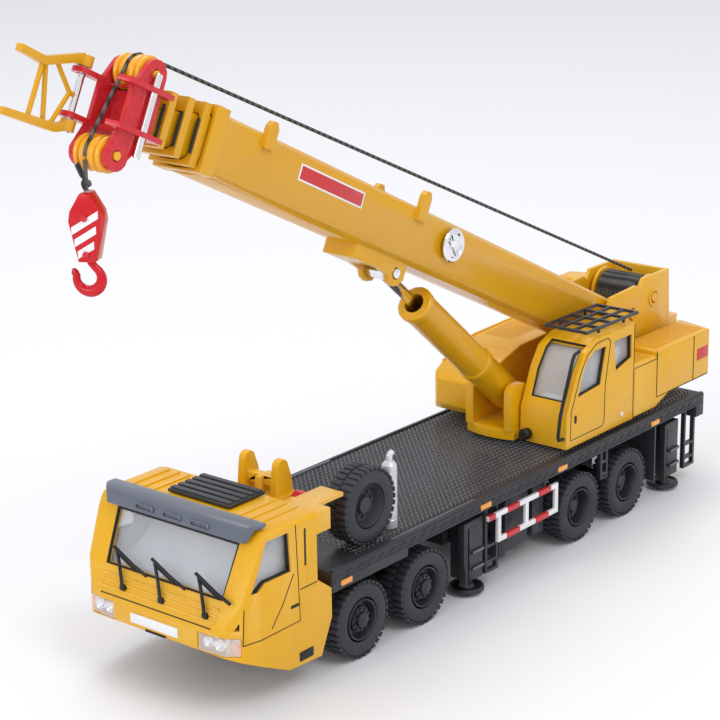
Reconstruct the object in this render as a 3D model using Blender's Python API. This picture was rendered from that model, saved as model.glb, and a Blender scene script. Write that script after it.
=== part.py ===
"""A 1:55 die-cast toy of a four-axle telescopic crane truck, one object for each sub-part.

Lengths are in millimetres (the mesh helpers turn them into metres). +X is forward, +Y is the
truck's left and +Z is up; x is zero at the front axle and z is zero on the ground.
"""

import math

import bmesh
import bpy
from mathutils import Matrix, Vector

MM = 0.001
GAP = 0.3

# Driving sizes
HALF_WIDTH = 26.0
DECK_TOP = 26.7
DECK_UNDER = 23.5
DECK_FRONT = 12.35
DECK_REAR = -161.6
AXLES = (0.0, -25.3, -95.9, -120.7)
TYRE_RADIUS = 10.0
TYRE_OUTER = 25.4
TYRE_INNER = 18.0
SPINE = 10.5
OUTRIGGERS = {"front": -48.0, "rear": -147.0}
JACK_Y = 21.2
SLEW_X = -107.0
PLATFORM_UNDER = 28.3
TAIL_RADIUS = 65.0
CAB_REAR = -124.9
WINCH = (-157.6, 54.8)

# Boom, in its own frame: x along the boom from its foot, z square to it
BOOM_FOOT = (-146.0, 52.0)
BOOM_ANGLE = math.radians(26.0)
BOOM_TOP = 1.9
BOOM_BELLY = -13.1
BOOM_HALF = 7.25
BOOM_END = 193.2
WALL = 0.8
FIRST_COLLAR = 2.9
COLLAR_PITCH = 4.65
LIFT_PIN = (110.6, -15.8)
LIFT_FOOT = (-97.5, 37.0)
UPPER_ROLLER = (212.7, 3.4)
LOWER_ROLLER = (217.5, -16.3)
ROLLER_RADIUS = 4.1
GROOVE_RADIUS = 3.2
ROPE_RADIUS = 0.45
ROPE_WRAP = GROOVE_RADIUS + GAP + ROPE_RADIUS
ROPE_LEAD = 5.9
COIL_RADIUS = 6.2
JIB_PIN = (222.4, -6.4)
BLOCK_TURN = math.radians(27.0)
BLOCK_TOP = 124.9
BLOCK_BOTTOM = 109.8

YELLOW = ("yellow_paint", (0.80, 0.50, 0.08), 0.35, 0.0)
BLACK = ("black_plastic", (0.035, 0.036, 0.045), 0.55, 0.0)
RUBBER = ("tyre_rubber", (0.04, 0.04, 0.05), 0.75, 0.0)
CLEAR = ("clear_plastic", (0.75, 0.80, 0.85), 0.08, 0.0)
GREY = ("grey_plastic", (0.17, 0.19, 0.23), 0.4, 0.0)
WHITE = ("white_paint", (0.85, 0.85, 0.85), 0.4, 0.0)
SILVER = ("silver_paint", (0.65, 0.66, 0.68), 0.35, 0.6)
RED = ("red_paint", (0.62, 0.01, 0.02), 0.35, 0.0)
CHROME = ("chrome", (0.85, 0.85, 0.86), 0.12, 1.0)
AMBER_YELLOW = ("yellow_plastic", (0.90, 0.55, 0.02), 0.35, 0.0)
ROPE = ("rope_black", (0.02, 0.02, 0.02), 0.85, 0.0)


def clear_scene():
    for thing in list(bpy.data.objects):
        bpy.data.objects.remove(thing, do_unlink=True)


def finish(look):
    """The Principled material for one (name, colour, roughness, metallic) look, made once."""
    name, colour, roughness, metallic = look
    material = bpy.data.materials.get(name) or bpy.data.materials.new(name)
    material.use_nodes = True
    shader = material.node_tree.nodes["Principled BSDF"]
    shader.inputs["Base Color"].default_value = (*colour, 1.0)
    shader.inputs["Roughness"].default_value = roughness
    shader.inputs["Metallic"].default_value = metallic
    return material


def frame(name, location, turn=(0.0, 0.0, 0.0), parent=None):
    """An empty that holds the pieces modelled in one local frame."""
    empty = bpy.data.objects.new(name, None)
    empty.location = Vector(location) * MM
    empty.rotation_euler = turn
    empty.parent = parent
    bpy.context.scene.collection.objects.link(empty)
    return empty


# Solids, in millimetres

def solid(bm):
    """Turn a closed bmesh into a temporary object."""
    bmesh.ops.recalc_face_normals(bm, faces=bm.faces)
    mesh = bpy.data.meshes.new("solid")
    bm.to_mesh(mesh)
    bm.free()
    thing = bpy.data.objects.new("solid", mesh)
    bpy.context.scene.collection.objects.link(thing)
    return thing


def prism(outline, low, high, along="y"):
    """Extrude an outline of (x, z) along y, (x, y) along z or (y, z) along x."""
    place = {
        "x": lambda a, b: (low, a, b),
        "y": lambda a, b: (a, low, b),
        "z": lambda a, b: (a, b, low),
    }[along]
    bm = bmesh.new()
    cap = bm.faces.new([bm.verts.new(place(a, b)) for a, b in outline])
    grown = bmesh.ops.extrude_face_region(bm, geom=[cap])
    moved = [part for part in grown["geom"] if isinstance(part, bmesh.types.BMVert)]
    step = Vector([high - low if axis == along else 0.0 for axis in "xyz"])
    bmesh.ops.translate(bm, verts=moved, vec=step)
    return solid(bm)


def box(x, y, z):
    return prism([(x[0], z[0]), (x[1], z[0]), (x[1], z[1]), (x[0], z[1])], y[0], y[1])


def lathe(profile, centre=(0.0, 0.0, 0.0), along="y", steps=16):
    """Spin a profile of (distance along the axis, radius) points."""
    axis = {"x": Vector((1, 0, 0)), "y": Vector((0, 1, 0)), "z": Vector((0, 0, 1))}[along]
    out = Vector((0, 0, 1)) if along != "z" else Vector((1, 0, 0))
    bm = bmesh.new()
    spots = [bm.verts.new(Vector(centre) + axis * d + out * r) for d, r in profile]
    edges = [bm.edges.new(pair) for pair in zip(spots, spots[1:])]
    if profile[0][1] > 0.0:
        edges.append(bm.edges.new((spots[-1], spots[0])))
    bmesh.ops.spin(
        bm, geom=spots + edges, cent=centre, axis=axis, angle=math.tau, steps=steps, use_merge=True
    )
    bmesh.ops.remove_doubles(bm, verts=bm.verts, dist=0.0001)
    return solid(bm)


def rod(start, end, radius, steps=8):
    start, end = Vector(start), Vector(end)
    turn = (end - start).to_track_quat("Z", "Y").to_matrix().to_4x4()
    bm = bmesh.new()
    bmesh.ops.create_cone(
        bm, cap_ends=True, segments=steps, radius1=radius, radius2=radius,
        depth=(end - start).length, matrix=Matrix.Translation((start + end) / 2) @ turn,
    )
    return solid(bm)


def linked_rods(points, radius, steps=8):
    """Straight rods from point to point, each a little longer than its stretch so that they join."""
    pieces = []
    for first, second in zip(points, points[1:]):
        reach = (Vector(second) - Vector(first)).normalized() * radius * 0.5
        pieces.append(rod(Vector(first) - reach, Vector(second) + reach, radius, steps))
    return pieces


def arc(centre, radius, first, last, steps):
    """Points on an arc, with angles in degrees."""
    angles = [math.radians(first + (last - first) * i / steps) for i in range(steps + 1)]
    return [(centre[0] + radius * math.cos(a), centre[1] + radius * math.sin(a)) for a in angles]


def inset(outline, distance):
    """Move every edge of an anticlockwise outline inward."""
    shifted = []
    count = len(outline)
    for i in range(count):
        before, here, after = (Vector(outline[(i + k) % count]) for k in (-1, 0, 1))
        first, second = (here - before).normalized(), (after - here).normalized()
        inward = Vector((-first.y, first.x)) + Vector((-second.y, second.x))
        reach = distance * 2.0 / max(inward.length_squared, 0.5)
        shifted.append(tuple(here + inward * reach))
    return shifted


def mirrored(maker, *args):
    """The solids of maker(side, ...) for the left side (+1) and the right side (-1)."""
    return [piece for side in (1, -1) for piece in maker(side, *args)]


def span(side, low, high):
    """A y range on one side of the truck, lowest value first."""
    return (low, high) if side > 0 else (-high, -low)


def boolean(thing, tools, operation):
    """Join or cut with temporary tools, bake the result and remove the tools."""
    for tool in tools:
        modifier = thing.modifiers.new("boolean", "BOOLEAN")
        modifier.operation = operation
        modifier.solver = "EXACT"
        modifier.object = tool
        tool.hide_render = True
        tool.display_type = "WIRE"
    graph = bpy.context.evaluated_depsgraph_get()
    thing.data = bpy.data.meshes.new_from_object(thing.evaluated_get(graph))
    thing.modifiers.clear()
    for tool in tools:
        bpy.data.objects.remove(tool, do_unlink=True)
    return thing


def part(name, look, solids, cuts=(), origin=(0.0, 0.0, 0.0), parent=None, keep=()):
    """One named sub-part: the solids joined, kept inside `keep`, less the cuts."""
    thing = boolean(solids[0], solids[1:], "UNION")
    boolean(thing, list(keep), "INTERSECT")
    boolean(thing, list(cuts), "DIFFERENCE")
    thing.name = name
    thing.data.name = name
    thing.data.transform(Matrix.Scale(MM, 4) @ Matrix.Translation(-Vector(origin)))
    thing.data.materials.clear()
    thing.data.materials.append(finish(look))
    thing.data.shade_smooth()
    thing.data.set_sharp_from_angle(angle=math.radians(35.0))
    thing.location = Vector(origin) * MM
    thing.parent = parent
    return thing


def tube(name, look, points, radius, parent):
    """A bent bar or a rope: a poly curve with a round bevel and filled caps."""
    curve = bpy.data.curves.new(name, "CURVE")
    curve.dimensions = "3D"
    curve.bevel_depth = radius * MM
    curve.bevel_resolution = 2
    curve.use_fill_caps = True
    spline = curve.splines.new("POLY")
    spline.points.add(len(points) - 1)
    for spot, point in zip(spline.points, points):
        spot.co = (*(Vector(point) * MM), 1.0)
    thing = bpy.data.objects.new(name, curve)
    curve.materials.append(finish(look))
    thing.parent = parent
    bpy.context.scene.collection.objects.link(thing)
    return thing


# Chassis

def side_fittings(side):
    """Tanks, ladders and mud flap under one side of the deck."""
    pieces = [
        box((-74.8, -64.4), span(side, 10.0, 22.0), (6.1, 23.6)),
        box((-82.5, -77.1), span(side, 10.0, 22.0), (6.6, 23.6)),
        box((-64.6, -61.6), span(side, 15.0, 22.0), (5.0, 10.0)),
        box((-135.3, -134.6), span(side, 10.0, 25.6), (6.3, 23.6)),
        box((-17.0, DECK_FRONT), span(side, 24.2, HALF_WIDTH), (21.5, 23.6)),
    ]
    ladders = ((-57.6, -51.8, 4.5, (11.5, 7.2)), (-159.4, -153.2, 4.5, (11.5, 7.2)),
               (-111.0, -107.2, 14.4, (19.2, 15.6)))
    for rear, front, low, rungs in ladders:
        y = span(side, 23.3, 24.6)
        pieces.append(box((rear, rear + 0.9), y, (low, 23.6)))
        pieces.append(box((front - 0.9, front), y, (low, 23.6)))
        pieces += [box((rear, front), y, (z, z + 0.8)) for z in (low, *rungs)]
    return pieces


def chassis_frame(truck):
    solids = [
        box((DECK_REAR, DECK_FRONT), (-HALF_WIDTH, HALF_WIDTH), (DECK_UNDER, DECK_TOP)),
        box((-158.0, 38.0), (-SPINE, SPINE), (13.0, 23.6)),
        box((DECK_REAR, DECK_REAR + 4.2), (-HALF_WIDTH, HALF_WIDTH), (20.0, 23.6)),
        lathe([(26.0, 0.0), (26.0, 12.0), (27.7, 12.0), (27.7, 0.0)], (SLEW_X, 0, 0), "z", 24),
    ]
    solids += [box((x - 4.0, x + 4.0), (-SPINE, SPINE), (7.0, 13.1)) for x in AXLES]
    solids += [box((x - 5.5, x + 5.5), (-17.5, 17.5), (13.9, 23.6)) for x in OUTRIGGERS.values()]
    solids += mirrored(side_fittings)
    cuts = [rod((x, -12, TYRE_RADIUS), (x, 12, TYRE_RADIUS), 1.5 + GAP + 0.1) for x in AXLES]
    cuts += [box((x - 3.3, x + 3.3), (-30, 30), (15.2, 21.3)) for x in OUTRIGGERS.values()]
    cuts.append(rod((SLEW_X, 0, 10), (SLEW_X, 0, 30), 4.35, 16))
    return part("chassis_frame", BLACK, solids, cuts, parent=truck)


CAB_SIDE = [
    (12.7, 23.2), (12.7, 15.75), (16.7, 6.9), (28.4, 7.5), (46.0, 15.8), (46.6, 17.0),
    (46.3, 22.4), (43.4, 28.0), (37.3, 41.6), (35.3, 44.6), (17.7, 44.6), (17.7, 26.9),
]


def cab_shell(truck):
    outline = prism(CAB_SIDE, -HALF_WIDTH, HALF_WIDTH)
    plan = [(10, 26), (10, -26), (38, -26), (43, -24.9), (45.6, -22), (46.8, -16),
            (46.8, 16), (45.6, 22), (43, 24.9), (38, 26)]
    section = [(26, 0), (26, 43.0), (24.9, 44.2), (22.5, 44.6), (-22.5, 44.6), (-24.9, 44.2),
               (-26, 43.0), (-26, 0)]
    keep = [prism(plan, 0, 60, "z"), prism(section, 0, 60, "x")]
    room = [(14.2, 22.0), (14.2, 2.0), (41.6, 2.0), (41.6, 22.4), (44.4, 22.4), (41.8, 28.0),
            (35.8, 41.2),
            (34.3, 43.1), (19.2, 43.1), (19.2, 28.0)]
    window = [(35.4, 42.2), (27.6, 42.1), (27.0, 32.1), (36.0, 32.2), (38.6, 30.6), (40.3, 30.8)]
    cuts = [
        prism(room, -24.4, 24.4),
        box((0, 20), (-10.9, 10.9), (0, 24.0)),
        prism([(-18.9, 28.4), (18.9, 28.4), (19.6, 40.8), (-19.6, 40.8)], 30, 50, "x"),
        prism(window, -30, 30),
    ]
    cuts += [box((43.0, 48.0), span(side, 13.7, 27.0), (15.9, 20.7)) for side in (1, -1)]
    ledge = [box((3.0, 18.0), (15.0, 22.0), (42.7, 43.7)), box((12.6, 18.0), (14.0, 26.0), (38.4, 43.7))]
    shell = part("cab_shell", YELLOW, [outline], cuts, keep=keep, parent=truck)
    return join_to(shell, ledge)


def join_to(thing, extras):
    """Join more solids, given in millimetres in the same frame, to a finished sub-part."""
    for extra in extras:
        extra.data.transform(Matrix.Scale(MM, 4))
        extra.parent = thing.parent
    return boolean(thing, extras, "UNION")


def cab_fittings(truck):
    glass = [(43.3, 22.6), (41.4, 28.0), (35.4, 41.1), (34.2, 42.7), (22.0, 42.7), (22.0, 22.6)]
    inner = [(42.3, 20.0), (40.4, 28.0), (34.4, 41.1), (33.5, 41.7), (33.5, 50.0), (20.0, 50.0),
             (20.0, 20.0)]
    keep = [box((20, 50), (-30, 30), (24.3, 60))]
    part("cab_glazing", CLEAR, [prism(glass, -24.0, 24.0)], [prism(inner, -23.0, 23.0)],
         parent=truck, keep=keep)
    visor = [(33.5, 45.0), (36.9, 45.0), (38.4, 41.9), (39.5, 42.1), (38.9, 45.4), (37.6, 46.0),
             (33.5, 46.0)]
    plan = [(30, 24.6), (30, -24.6), (36.4, -24.6), (38.4, -22.8), (42, -19), (42, 19), (38.4, 22.8),
            (36.4, 24.6)]
    part("sun_visor", GREY, [prism(visor, -26, 26)], keep=[prism(plan, 30, 60, "z")], parent=truck)
    slats = [box((x - 0.8, x + 0.8), (-9.6, 9.6), (45.5, 46.1)) for x in (19.0, 21.5, 24.0, 26.5, 29.0)]
    part("roof_hatch", BLACK, [box((17.6, 30.3), (-10, 10), (44.9, 45.6))] + slats, parent=truck)
    arms = []
    for y in (-11.3, 1.3, 15.5):
        arms += linked_rods([(45.8, y, 25.3), (44.0, y - 2.0, 29.4), (42.8, y - 3.6, 32.4)], 0.5, 6)
        arms.append(rod((42.9, y - 4.6, 32.6), (44.2, y + 7.6, 29.0), 0.5, 6))
    arms.append(rod((44.8, -12.5, 28.0), (44.8, 15.5, 28.0), 0.4, 6))
    part("wiper_set", BLACK, arms, parent=truck)
    for name, side in (("left", 1), ("right", -1)):
        plan = [(43.4, side * 14.0), (46.0, side * 14.0), (46.0, side * 16.0), (45.3, side * 21.9),
                (43.4, side * 24.2)]
        part("headlamp_" + name, CLEAR, [prism(plan, 16.2, 20.4, "z")], parent=truck)
    lug = [(3.2, 39.0), (10.0, 39.0), (9.4, 44.6), *arc((7.0, 47.7), 2.0, 0, 180, 6), (4.0, 45.0)]
    ears = [prism(lug, *span(side, 4.4, 6.4)) for side in (1, -1)]
    rest = ears + [box((3.0, 10.2), (-8.0, 8.0), (37.6, 40.6)),
                   box((3.2, 8.4), (-5.0, 5.0), (27.0, 38.0)),
                   box((5.8, 8.2), (-5.0, 5.0), (42.4, 44.8)), box((4.2, 9.2), (-1.0, 1.0), (39.0, 44.6))]
    part("boom_rest", YELLOW, rest, parent=truck)
    part("air_tank", RED, [lathe([(8.6, 0), (8.6, 1.7), (14.6, 1.7), (14.6, 0)], (5.5, 0, 40.4))],
         parent=truck)


def deck_fittings(truck):
    spare = [(15.7, 0), (15.7, 6.0), (15.4, 7.0), (15.4, 9.0), (16.3, 9.9), (21.8, 9.9), (22.7, 9.0),
             (22.7, 6.4), (20.8, 5.8), (19.8, 2.2), (20.8, 2.0), (20.8, 0)]
    part("spare_wheel", RUBBER, [lathe(spare, (-6.9, 0, 37.0), steps=24),
                                 box((-9.9, -3.9), (16.4, 21.2), (27.0, 30.0))], parent=truck)
    stack = [(27.0, 0), (27.0, 1.95), (43.8, 1.95), (44.6, 1.4), (44.6, 1.05), (47.0, 1.05), (47.0, 0)]
    part("exhaust_stack", SILVER, [lathe(stack, (-19.1, 18.6, 0), "z")], parent=truck)
    for name, side in (("left", 1), ("right", -1)):
        y = span(side, 25.0, HALF_WIDTH)
        rails = [box((-83.9, -51.4), y, (19.7, 21.1)), box((-83.9, -55.7), y, (12.5, 13.9))]
        rails += [box((x - 0.7, x + 0.7), y, (12.6, 21.0)) for x in (-56.4, -69.1, -83.2)]
        part("side_guard_" + name, WHITE, rails, parent=truck)


# Running gear and outriggers

def wheelset(number, x, truck):
    """An axle with its two rims, domed on the two front axles and dished on the two rear ones."""
    domed = number <= 2
    rim = [(18.8, 1.5), (18.8, 5.5), (25.0, 5.5), (25.0, 4.9), (23.4, 4.4)]
    hub = [(21.4, 3.9), (21.4, 2.2), (23.6, 1.8), (23.6, 0.0)]
    if domed:
        hub = [(23.2, 3.0), (25.2, 1.9), (25.9, 0.0)]
    half = rim + hub
    profile = [(-d, r) for d, r in reversed(half)] + half
    origin = (x, 0, TYRE_RADIUS)
    part(f"wheelset_{number}", BLACK, [lathe(profile, origin)], origin=origin, parent=truck)
    inner = 5.5 + GAP
    tread = [(TYRE_INNER + 0.5, inner), (TYRE_INNER, 6.6), (TYRE_INNER + 0.1, 9.0),
             (TYRE_INNER + 0.9, TYRE_RADIUS),
             (TYRE_OUTER - 0.9, TYRE_RADIUS), (TYRE_OUTER - 0.1, 9.0), (TYRE_OUTER, 6.6),
             (TYRE_OUTER - 0.5, inner)]
    for name, side in (("left", 1), ("right", -1)):
        tyre = lathe([(side * d, r) for d, r in tread], origin, steps=24)
        part(f"tyre_{number}_{name}", RUBBER, [tyre], origin=origin, parent=truck)


def outrigger(place, x, name, side, truck):
    """A sliding beam with its jack column, and the foot that slides down out of the column."""
    ahead = 1 if place == "front" else -1
    web = [(x + 3.0, 21.3), (x + 5.6, 21.3), (x + 5.6, 10.0), (x + 5.0, 7.5), (x + 5.0, 3.4),
           (x + 3.9, 3.4), (x + 3.9, 19.8),
           (x + 3.0, 19.8)]
    if ahead < 0:
        web = [(x + 3.0, 21.3), (x + 5.0, 21.3), (x + 5.0, 10.0), (x + 4.6, 7.5), (x + 4.6, 3.4),
               (x + 3.7, 3.4),
               (x + 3.7, 19.8), (x + 3.0, 19.8)]
    solids = [
        box((x - 3.0, x + 3.0), span(side, 3.0, 19.5), (15.5, 21.0)),
        box((x - 2.8, x + 3.1), span(side, 18.2, 24.4), (4.5, 21.3)),
        prism(web, *span(side, 22.6, 24.6)),
    ]
    solids += [box((x - 2.6, x + 2.6), span(side, 24.2, 25.2), (z, z + 0.9)) for z in (12.2, 7.6)]
    bore = rod((x, side * JACK_Y, 0), (x, side * JACK_Y, 17.5), 1.9, 12)
    part(f"outrigger_beam_{place}_{name}", BLACK, solids, [bore], parent=truck)
    foot = [(0.7, 0), (0.7, 4.5), (1.1, 4.8), (1.7, 4.8), (2.1, 4.3), (1.6, 3.4), (2.4, 1.5), (16.5, 1.5),
            (16.5, 0)]
    origin = (x, side * JACK_Y, 0)
    part(f"outrigger_foot_{place}_{name}", BLACK, [lathe(foot, origin, "z")], origin=origin, parent=truck)


# Superstructure

def slew_platform(truck):
    tail = [(-166.0, -9.9), *arc((SLEW_X, 0), TAIL_RADIUS + 0.6, 188.6, 171.4, 4), (-166.0, 9.9)]
    plate = [(-168.0, 31.0), (-130.2, 31.0), (-130.2, 52.0), (-134.0, 59.6), (-148.0, 60.3),
             (-150.0, 58.8),
             (-151.6, 61.8), (-166.2, 61.8)]
    ear = [(-102.0, 31.0), (-87.0, 31.0), (-87.0, 41.5), *arc((-89.5, 41.5), 2.5, 0, 90, 3),
           (-93.0, 44.0),
           (-100.5, 40.0)]
    solids = [
        prism([(-168.0, -8.0), *arc((SLEW_X, 0), 20.6, -22.8, 22.8, 6), (-168.0, 8.0)], PLATFORM_UNDER,
              31.2, "z"),
        rod((SLEW_X, 0, 18.0), (SLEW_X, 0, 29.0), 4.0, 16),
        box((-166.3, -164.9), (-9.9, 9.9), (31.0, 61.8)),
        prism(tail, 30.6, 46.5, "z"),
        box((-168.0, -130.2), (-9.9, 9.9), (30.6, 33.0)),
    ]
    for side in (1, -1):
        solids.append(prism(plate, *span(side, 8.8, 9.9)))
        solids.append(prism(ear, *span(side, 5.3, 7.8)))
        solids.append(rod((WINCH[0], side * 9.7, WINCH[1]), (WINCH[0], side * 10.3, WINCH[1]), 2.8, 12))
    cuts = [
        rod((WINCH[0], -12, WINCH[1]), (WINCH[0], 12, WINCH[1]), 1.6 + GAP, 12),
        rod((BOOM_FOOT[0], -12, BOOM_FOOT[1]), (BOOM_FOOT[0], 12, BOOM_FOOT[1]), 1.7 + GAP, 12),
        rod((LIFT_FOOT[0], -12, LIFT_FOOT[1]), (LIFT_FOOT[0], 12, LIFT_FOOT[1]), 1.6 + GAP, 12),
    ]
    return part("slew_platform", YELLOW, solids, cuts, origin=(SLEW_X, 0, 0), parent=truck)


OPERATOR_SIDE = [
    (CAB_REAR, 28.1), (-90.4, 28.1), (-90.6, 38.0), (-92.4, 42.2), (-95.2, 48.7), (-99.0, 54.0),
    (-104.9, 56.4), (CAB_REAR, 56.7),
]


def operator_station(truck):
    skin = 1.2
    room = inset(OPERATOR_SIDE, skin)
    door = [(-110.0, 53.4), (-107.4, 42.8), (-95.9, 41.9), (-98.2, 48.0), (-100.6, 51.6), (-104.3, 53.4)]
    rear = [(-123.1, 53.8), (-123.3, 46.9), (-115.1, 44.8), (-114.2, 53.8)]
    screen = [(-80.0, 41.0), (-94.0, 41.0), (-96.7, 47.8), (-100.2, 52.8), (-102.2, 54.0), (-102.2, 62.0),
              (-80.0, 62.0)]
    cuts = [prism(room, 8.5 + skin, 24.0 - skin), prism(door, 21, 26), prism(rear, 21, 26),
            prism(screen, 11.0, 22.4)]
    part("operator_cab", YELLOW, [prism(OPERATOR_SIDE, 8.5, 24.0)], cuts, parent=truck)
    outer = inset(OPERATOR_SIDE, skin + GAP)
    inner = inset(OPERATOR_SIDE, skin + GAP + 0.8)
    open_rear = [(x - 6.0 if x < -120.0 else x, z) for x, z in inner]
    keep = [box((-130, -80), (0, 30), (40.3, 60))]
    part("operator_glass", CLEAR, [prism(outer, 10.1, 22.4)], [prism(open_rear, 5.0, 21.6)], keep=keep,
         parent=truck)
    bars = [box((-129.0, -102.0), (y - 0.35, y + 0.35), (58.2, 59.0)) for y in (8.6, 13.1, 17.6, 22.1)]
    crossbars = (-102.6, -109.0, -115.5, -122.0, -128.6)
    bars += [box((x - 0.35, x + 0.35), (8.2, 22.5), (58.2, 59.0)) for x in crossbars]
    feet = [(x, y) for x in (-109.0, -122.0) for y in (8.9, 21.8)]
    bars += [box((x - 0.35, x + 0.35), (y - 0.35, y + 0.35), (57.1, 58.6)) for x, y in feet]
    part("roof_guard", BLACK, bars, parent=truck)
    rail = [(-97.4, 23.2, 54.8), (-94.4, 23.2, 53.6), (-92.2, 23.2, 48.0), (-88.4, 23.2, 38.0),
            (-87.4, 23.2, 31.8),
            (-90.0, 23.2, 31.3)]
    tube("grab_rail", BLACK, rail, 0.5, truck)


def engine_hoods(truck):
    """The two hoods on either side of the winch, their tails on an arc about the slewing axis."""
    tail = math.degrees(math.asin(24.0 / TAIL_RADIUS))
    near = math.degrees(math.asin(11.3 / TAIL_RADIUS))
    side = [(-125.3, 28.1), (-137.0, 28.1), (-145.0, 31.0), (-175.0, 31.0), (-175.0, 45.0),
            (-137.8, 45.0), (-137.4, 43.4),
            (-125.3, 43.4)]
    plan = [(-125.3, 11.3), (-125.3, 24.0), *arc((SLEW_X, 0), TAIL_RADIUS, 180 - tail, 180 - near, 3)]
    part("engine_hood_left", YELLOW, [prism(side, 5, 30)], keep=[prism(plan, 20, 60, "z")], parent=truck)
    side = [(-94.5, 31.5), (-97.0, 29.0), (-137.0, 29.0), (-145.0, 31.0), (-175.0, 31.0), (-175.0, 55.5),
            (-159.5, 55.5),
            (-157.5, 48.2), (-115.0, 46.9), (-100.0, 42.6), (-94.5, 39.0)]
    tail = math.degrees(math.asin(HALF_WIDTH / TAIL_RADIUS))
    plan = [(-94.5, -8.5), (-129.5, -8.5), (-129.5, -11.3),
            *arc((SLEW_X, 0), TAIL_RADIUS, 180 + near, 180 + tail, 3),
            (-96.5, -HALF_WIDTH), (-94.5, -24.0)]
    part("engine_hood_right", YELLOW, [prism(side, -30, -5)], keep=[prism(plan, 20, 60, "z")],
         parent=truck)


def winch(truck):
    origin = (WINCH[0], 0, WINCH[1])
    half = [(7.2, 4.0), (7.2, 6.7), (8.2, 6.7), (8.2, 1.5), (10.6, 1.5), (10.6, 0.0)]
    profile = [(-d, r) for d, r in reversed(half)] + half
    part("winch_drum", YELLOW, [lathe(profile, origin)], origin=origin, parent=truck)
    wound = [(-6.8, 4.4), (-6.8, COIL_RADIUS), (6.8, COIL_RADIUS), (6.8, 4.4)]
    part("rope_coil", ROPE, [lathe(wound, origin, steps=20)], origin=origin, parent=truck)


# Boom

def tube_outline(shrink):
    """The boom's section, (y, z), with a rounded belly and every face moved inward."""
    half, top, belly = BOOM_HALF - shrink, BOOM_TOP - shrink, BOOM_BELLY + shrink
    corner, belly_round = 0.12 * half, 0.34 * half
    right = [(half - corner, top), (half, top - corner), (half, belly + 1.4 * belly_round),
             (half - corner, belly + 0.6 * belly_round), (half - belly_round, belly + 0.15 * belly_round)]
    return right + [(0.0, belly)] + [(-y, z) for y, z in reversed(right)]


def base_section(boom):
    bracket = [(107.0, -12.0), (107.0, -17.0), *arc(LIFT_PIN, 3.4, 200, 340, 4), (117.0, -16.5),
               (129.2, -14.5),
               (129.2, -12.0)]
    solids = [prism(tube_outline(0.0), -3.0, 190.0, "x")]
    solids += [prism(bracket, *span(side, 3.5, 5.0)) for side in (1, -1)]
    solids += [
        box((119.0, 129.2), (-5.0, 5.0), (-16.3, -12.0)),
        prism([(-7.4, -12.7), (7.4, -12.7), (7.4, 3.1), (-7.4, 3.1)], 188.7, BOOM_END, "x"),
        rod((0, -10.4, 0), (0, 10.4, 0), 1.6, 12),
    ]
    for x, side in ((110.5, 1), (110.5, -1), (174.2, 1), (159.2, -1)):
        high = 6.4 if x < 120.0 else 5.1
        post = [(x - 1.7, -1.5), (x + 1.7, -1.5), (x + 1.7, high - 1.5), (x + 0.8, high), (x - 0.8, high),
                (x - 1.7, high - 1.5)]
        solids.append(prism(post, *span(side, 6.9, 8.5)))
    cuts = [prism(tube_outline(WALL), 12.0, 200.0, "x")]
    cuts.append(prism([(-10, -30), (9.5, -30), (9.5, BOOM_BELLY), (-3.0, -2.5), (-10, -2.5)], -8, 8))
    cuts.append(rod((LIFT_PIN[0], -8, LIFT_PIN[1]), (LIFT_PIN[0], 8, LIFT_PIN[1]), 1.3 + GAP, 12))
    return part("boom_base", YELLOW, solids, cuts, parent=boom)


def sliding_sections(boom):
    """Four nested box sections, each with a collar at its front end."""
    for number in range(2, 6):
        shrink = (WALL + GAP) * (number - 1)
        start = 12.0 + 2.0 * number
        end = BOOM_END + FIRST_COLLAR + COLLAR_PITCH * (number - 2)
        solids = [prism(tube_outline(shrink), start, end, "x")]
        if number < 5:
            half = BOOM_HALF - 0.9 * (number - 1)
            low = -12.7 + 0.65 * (number - 1)
            high = 3.1 - 0.35 * (number - 1)
            collar = [(-half, low), (half, low), (half, high), (-half, high)]
            solids.append(prism(collar, end - 2.2, end, "x"))
        cuts = [prism(tube_outline(shrink + WALL), start - 5.0, end + 5.0, "x")] if number < 5 else []
        part(f"boom_section_{number}", YELLOW, solids, cuts, parent=boom)


def boom_head(boom):
    upper, lower = UPPER_ROLLER, LOWER_ROLLER
    cheek = [*arc(upper, 3.4, 10, 180, 6), (upper[0] - 3.4, -9.5), *arc(lower, 3.5, 180, 360, 8),
             (218.4, -9.5), (218.4, -1.0)]
    solids = [prism(cheek, *span(side, 4.4, 5.6)) for side in (1, -1)]
    solids.append(box((213.0 - 2.4, 213.0), (-4.6, 4.6), (-10.4, 0.2)))
    for low in (-10.7, -0.7):
        ear = [(207.4, -7.6), (219.0, -7.6), *arc(JIB_PIN, 2.4, -100, 10, 4), (224.4, -4.6), (222.4, 4.6),
               (221.0, 7.4),
               (207.4, 7.6)]
        solids.append(prism(ear, low, low + 1.2, "z"))
    cuts = [
        box((215.4, 230.0), (-4.4, 4.4), (-12.0, 2.0)),
        rod((upper[0], -8, upper[1]), (upper[0], 8, upper[1]), 1.0 + GAP, 12),
        rod((lower[0], -8, lower[1]), (lower[0], 8, lower[1]), 1.0 + GAP, 12),
        rod((JIB_PIN[0], JIB_PIN[1], -16), (JIB_PIN[0], JIB_PIN[1], 5), 0.8 + GAP, 12),
        rod((upper[0], -4.4, upper[1]), (upper[0], 4.4, upper[1]), ROLLER_RADIUS + 0.5, 16),
    ]
    pin = rod((212.8, 6.6, -15.2), (212.8, 6.6, 3.4), 0.8, 10)
    part("boom_head", RED, solids + [pin], cuts, parent=boom)


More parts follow.
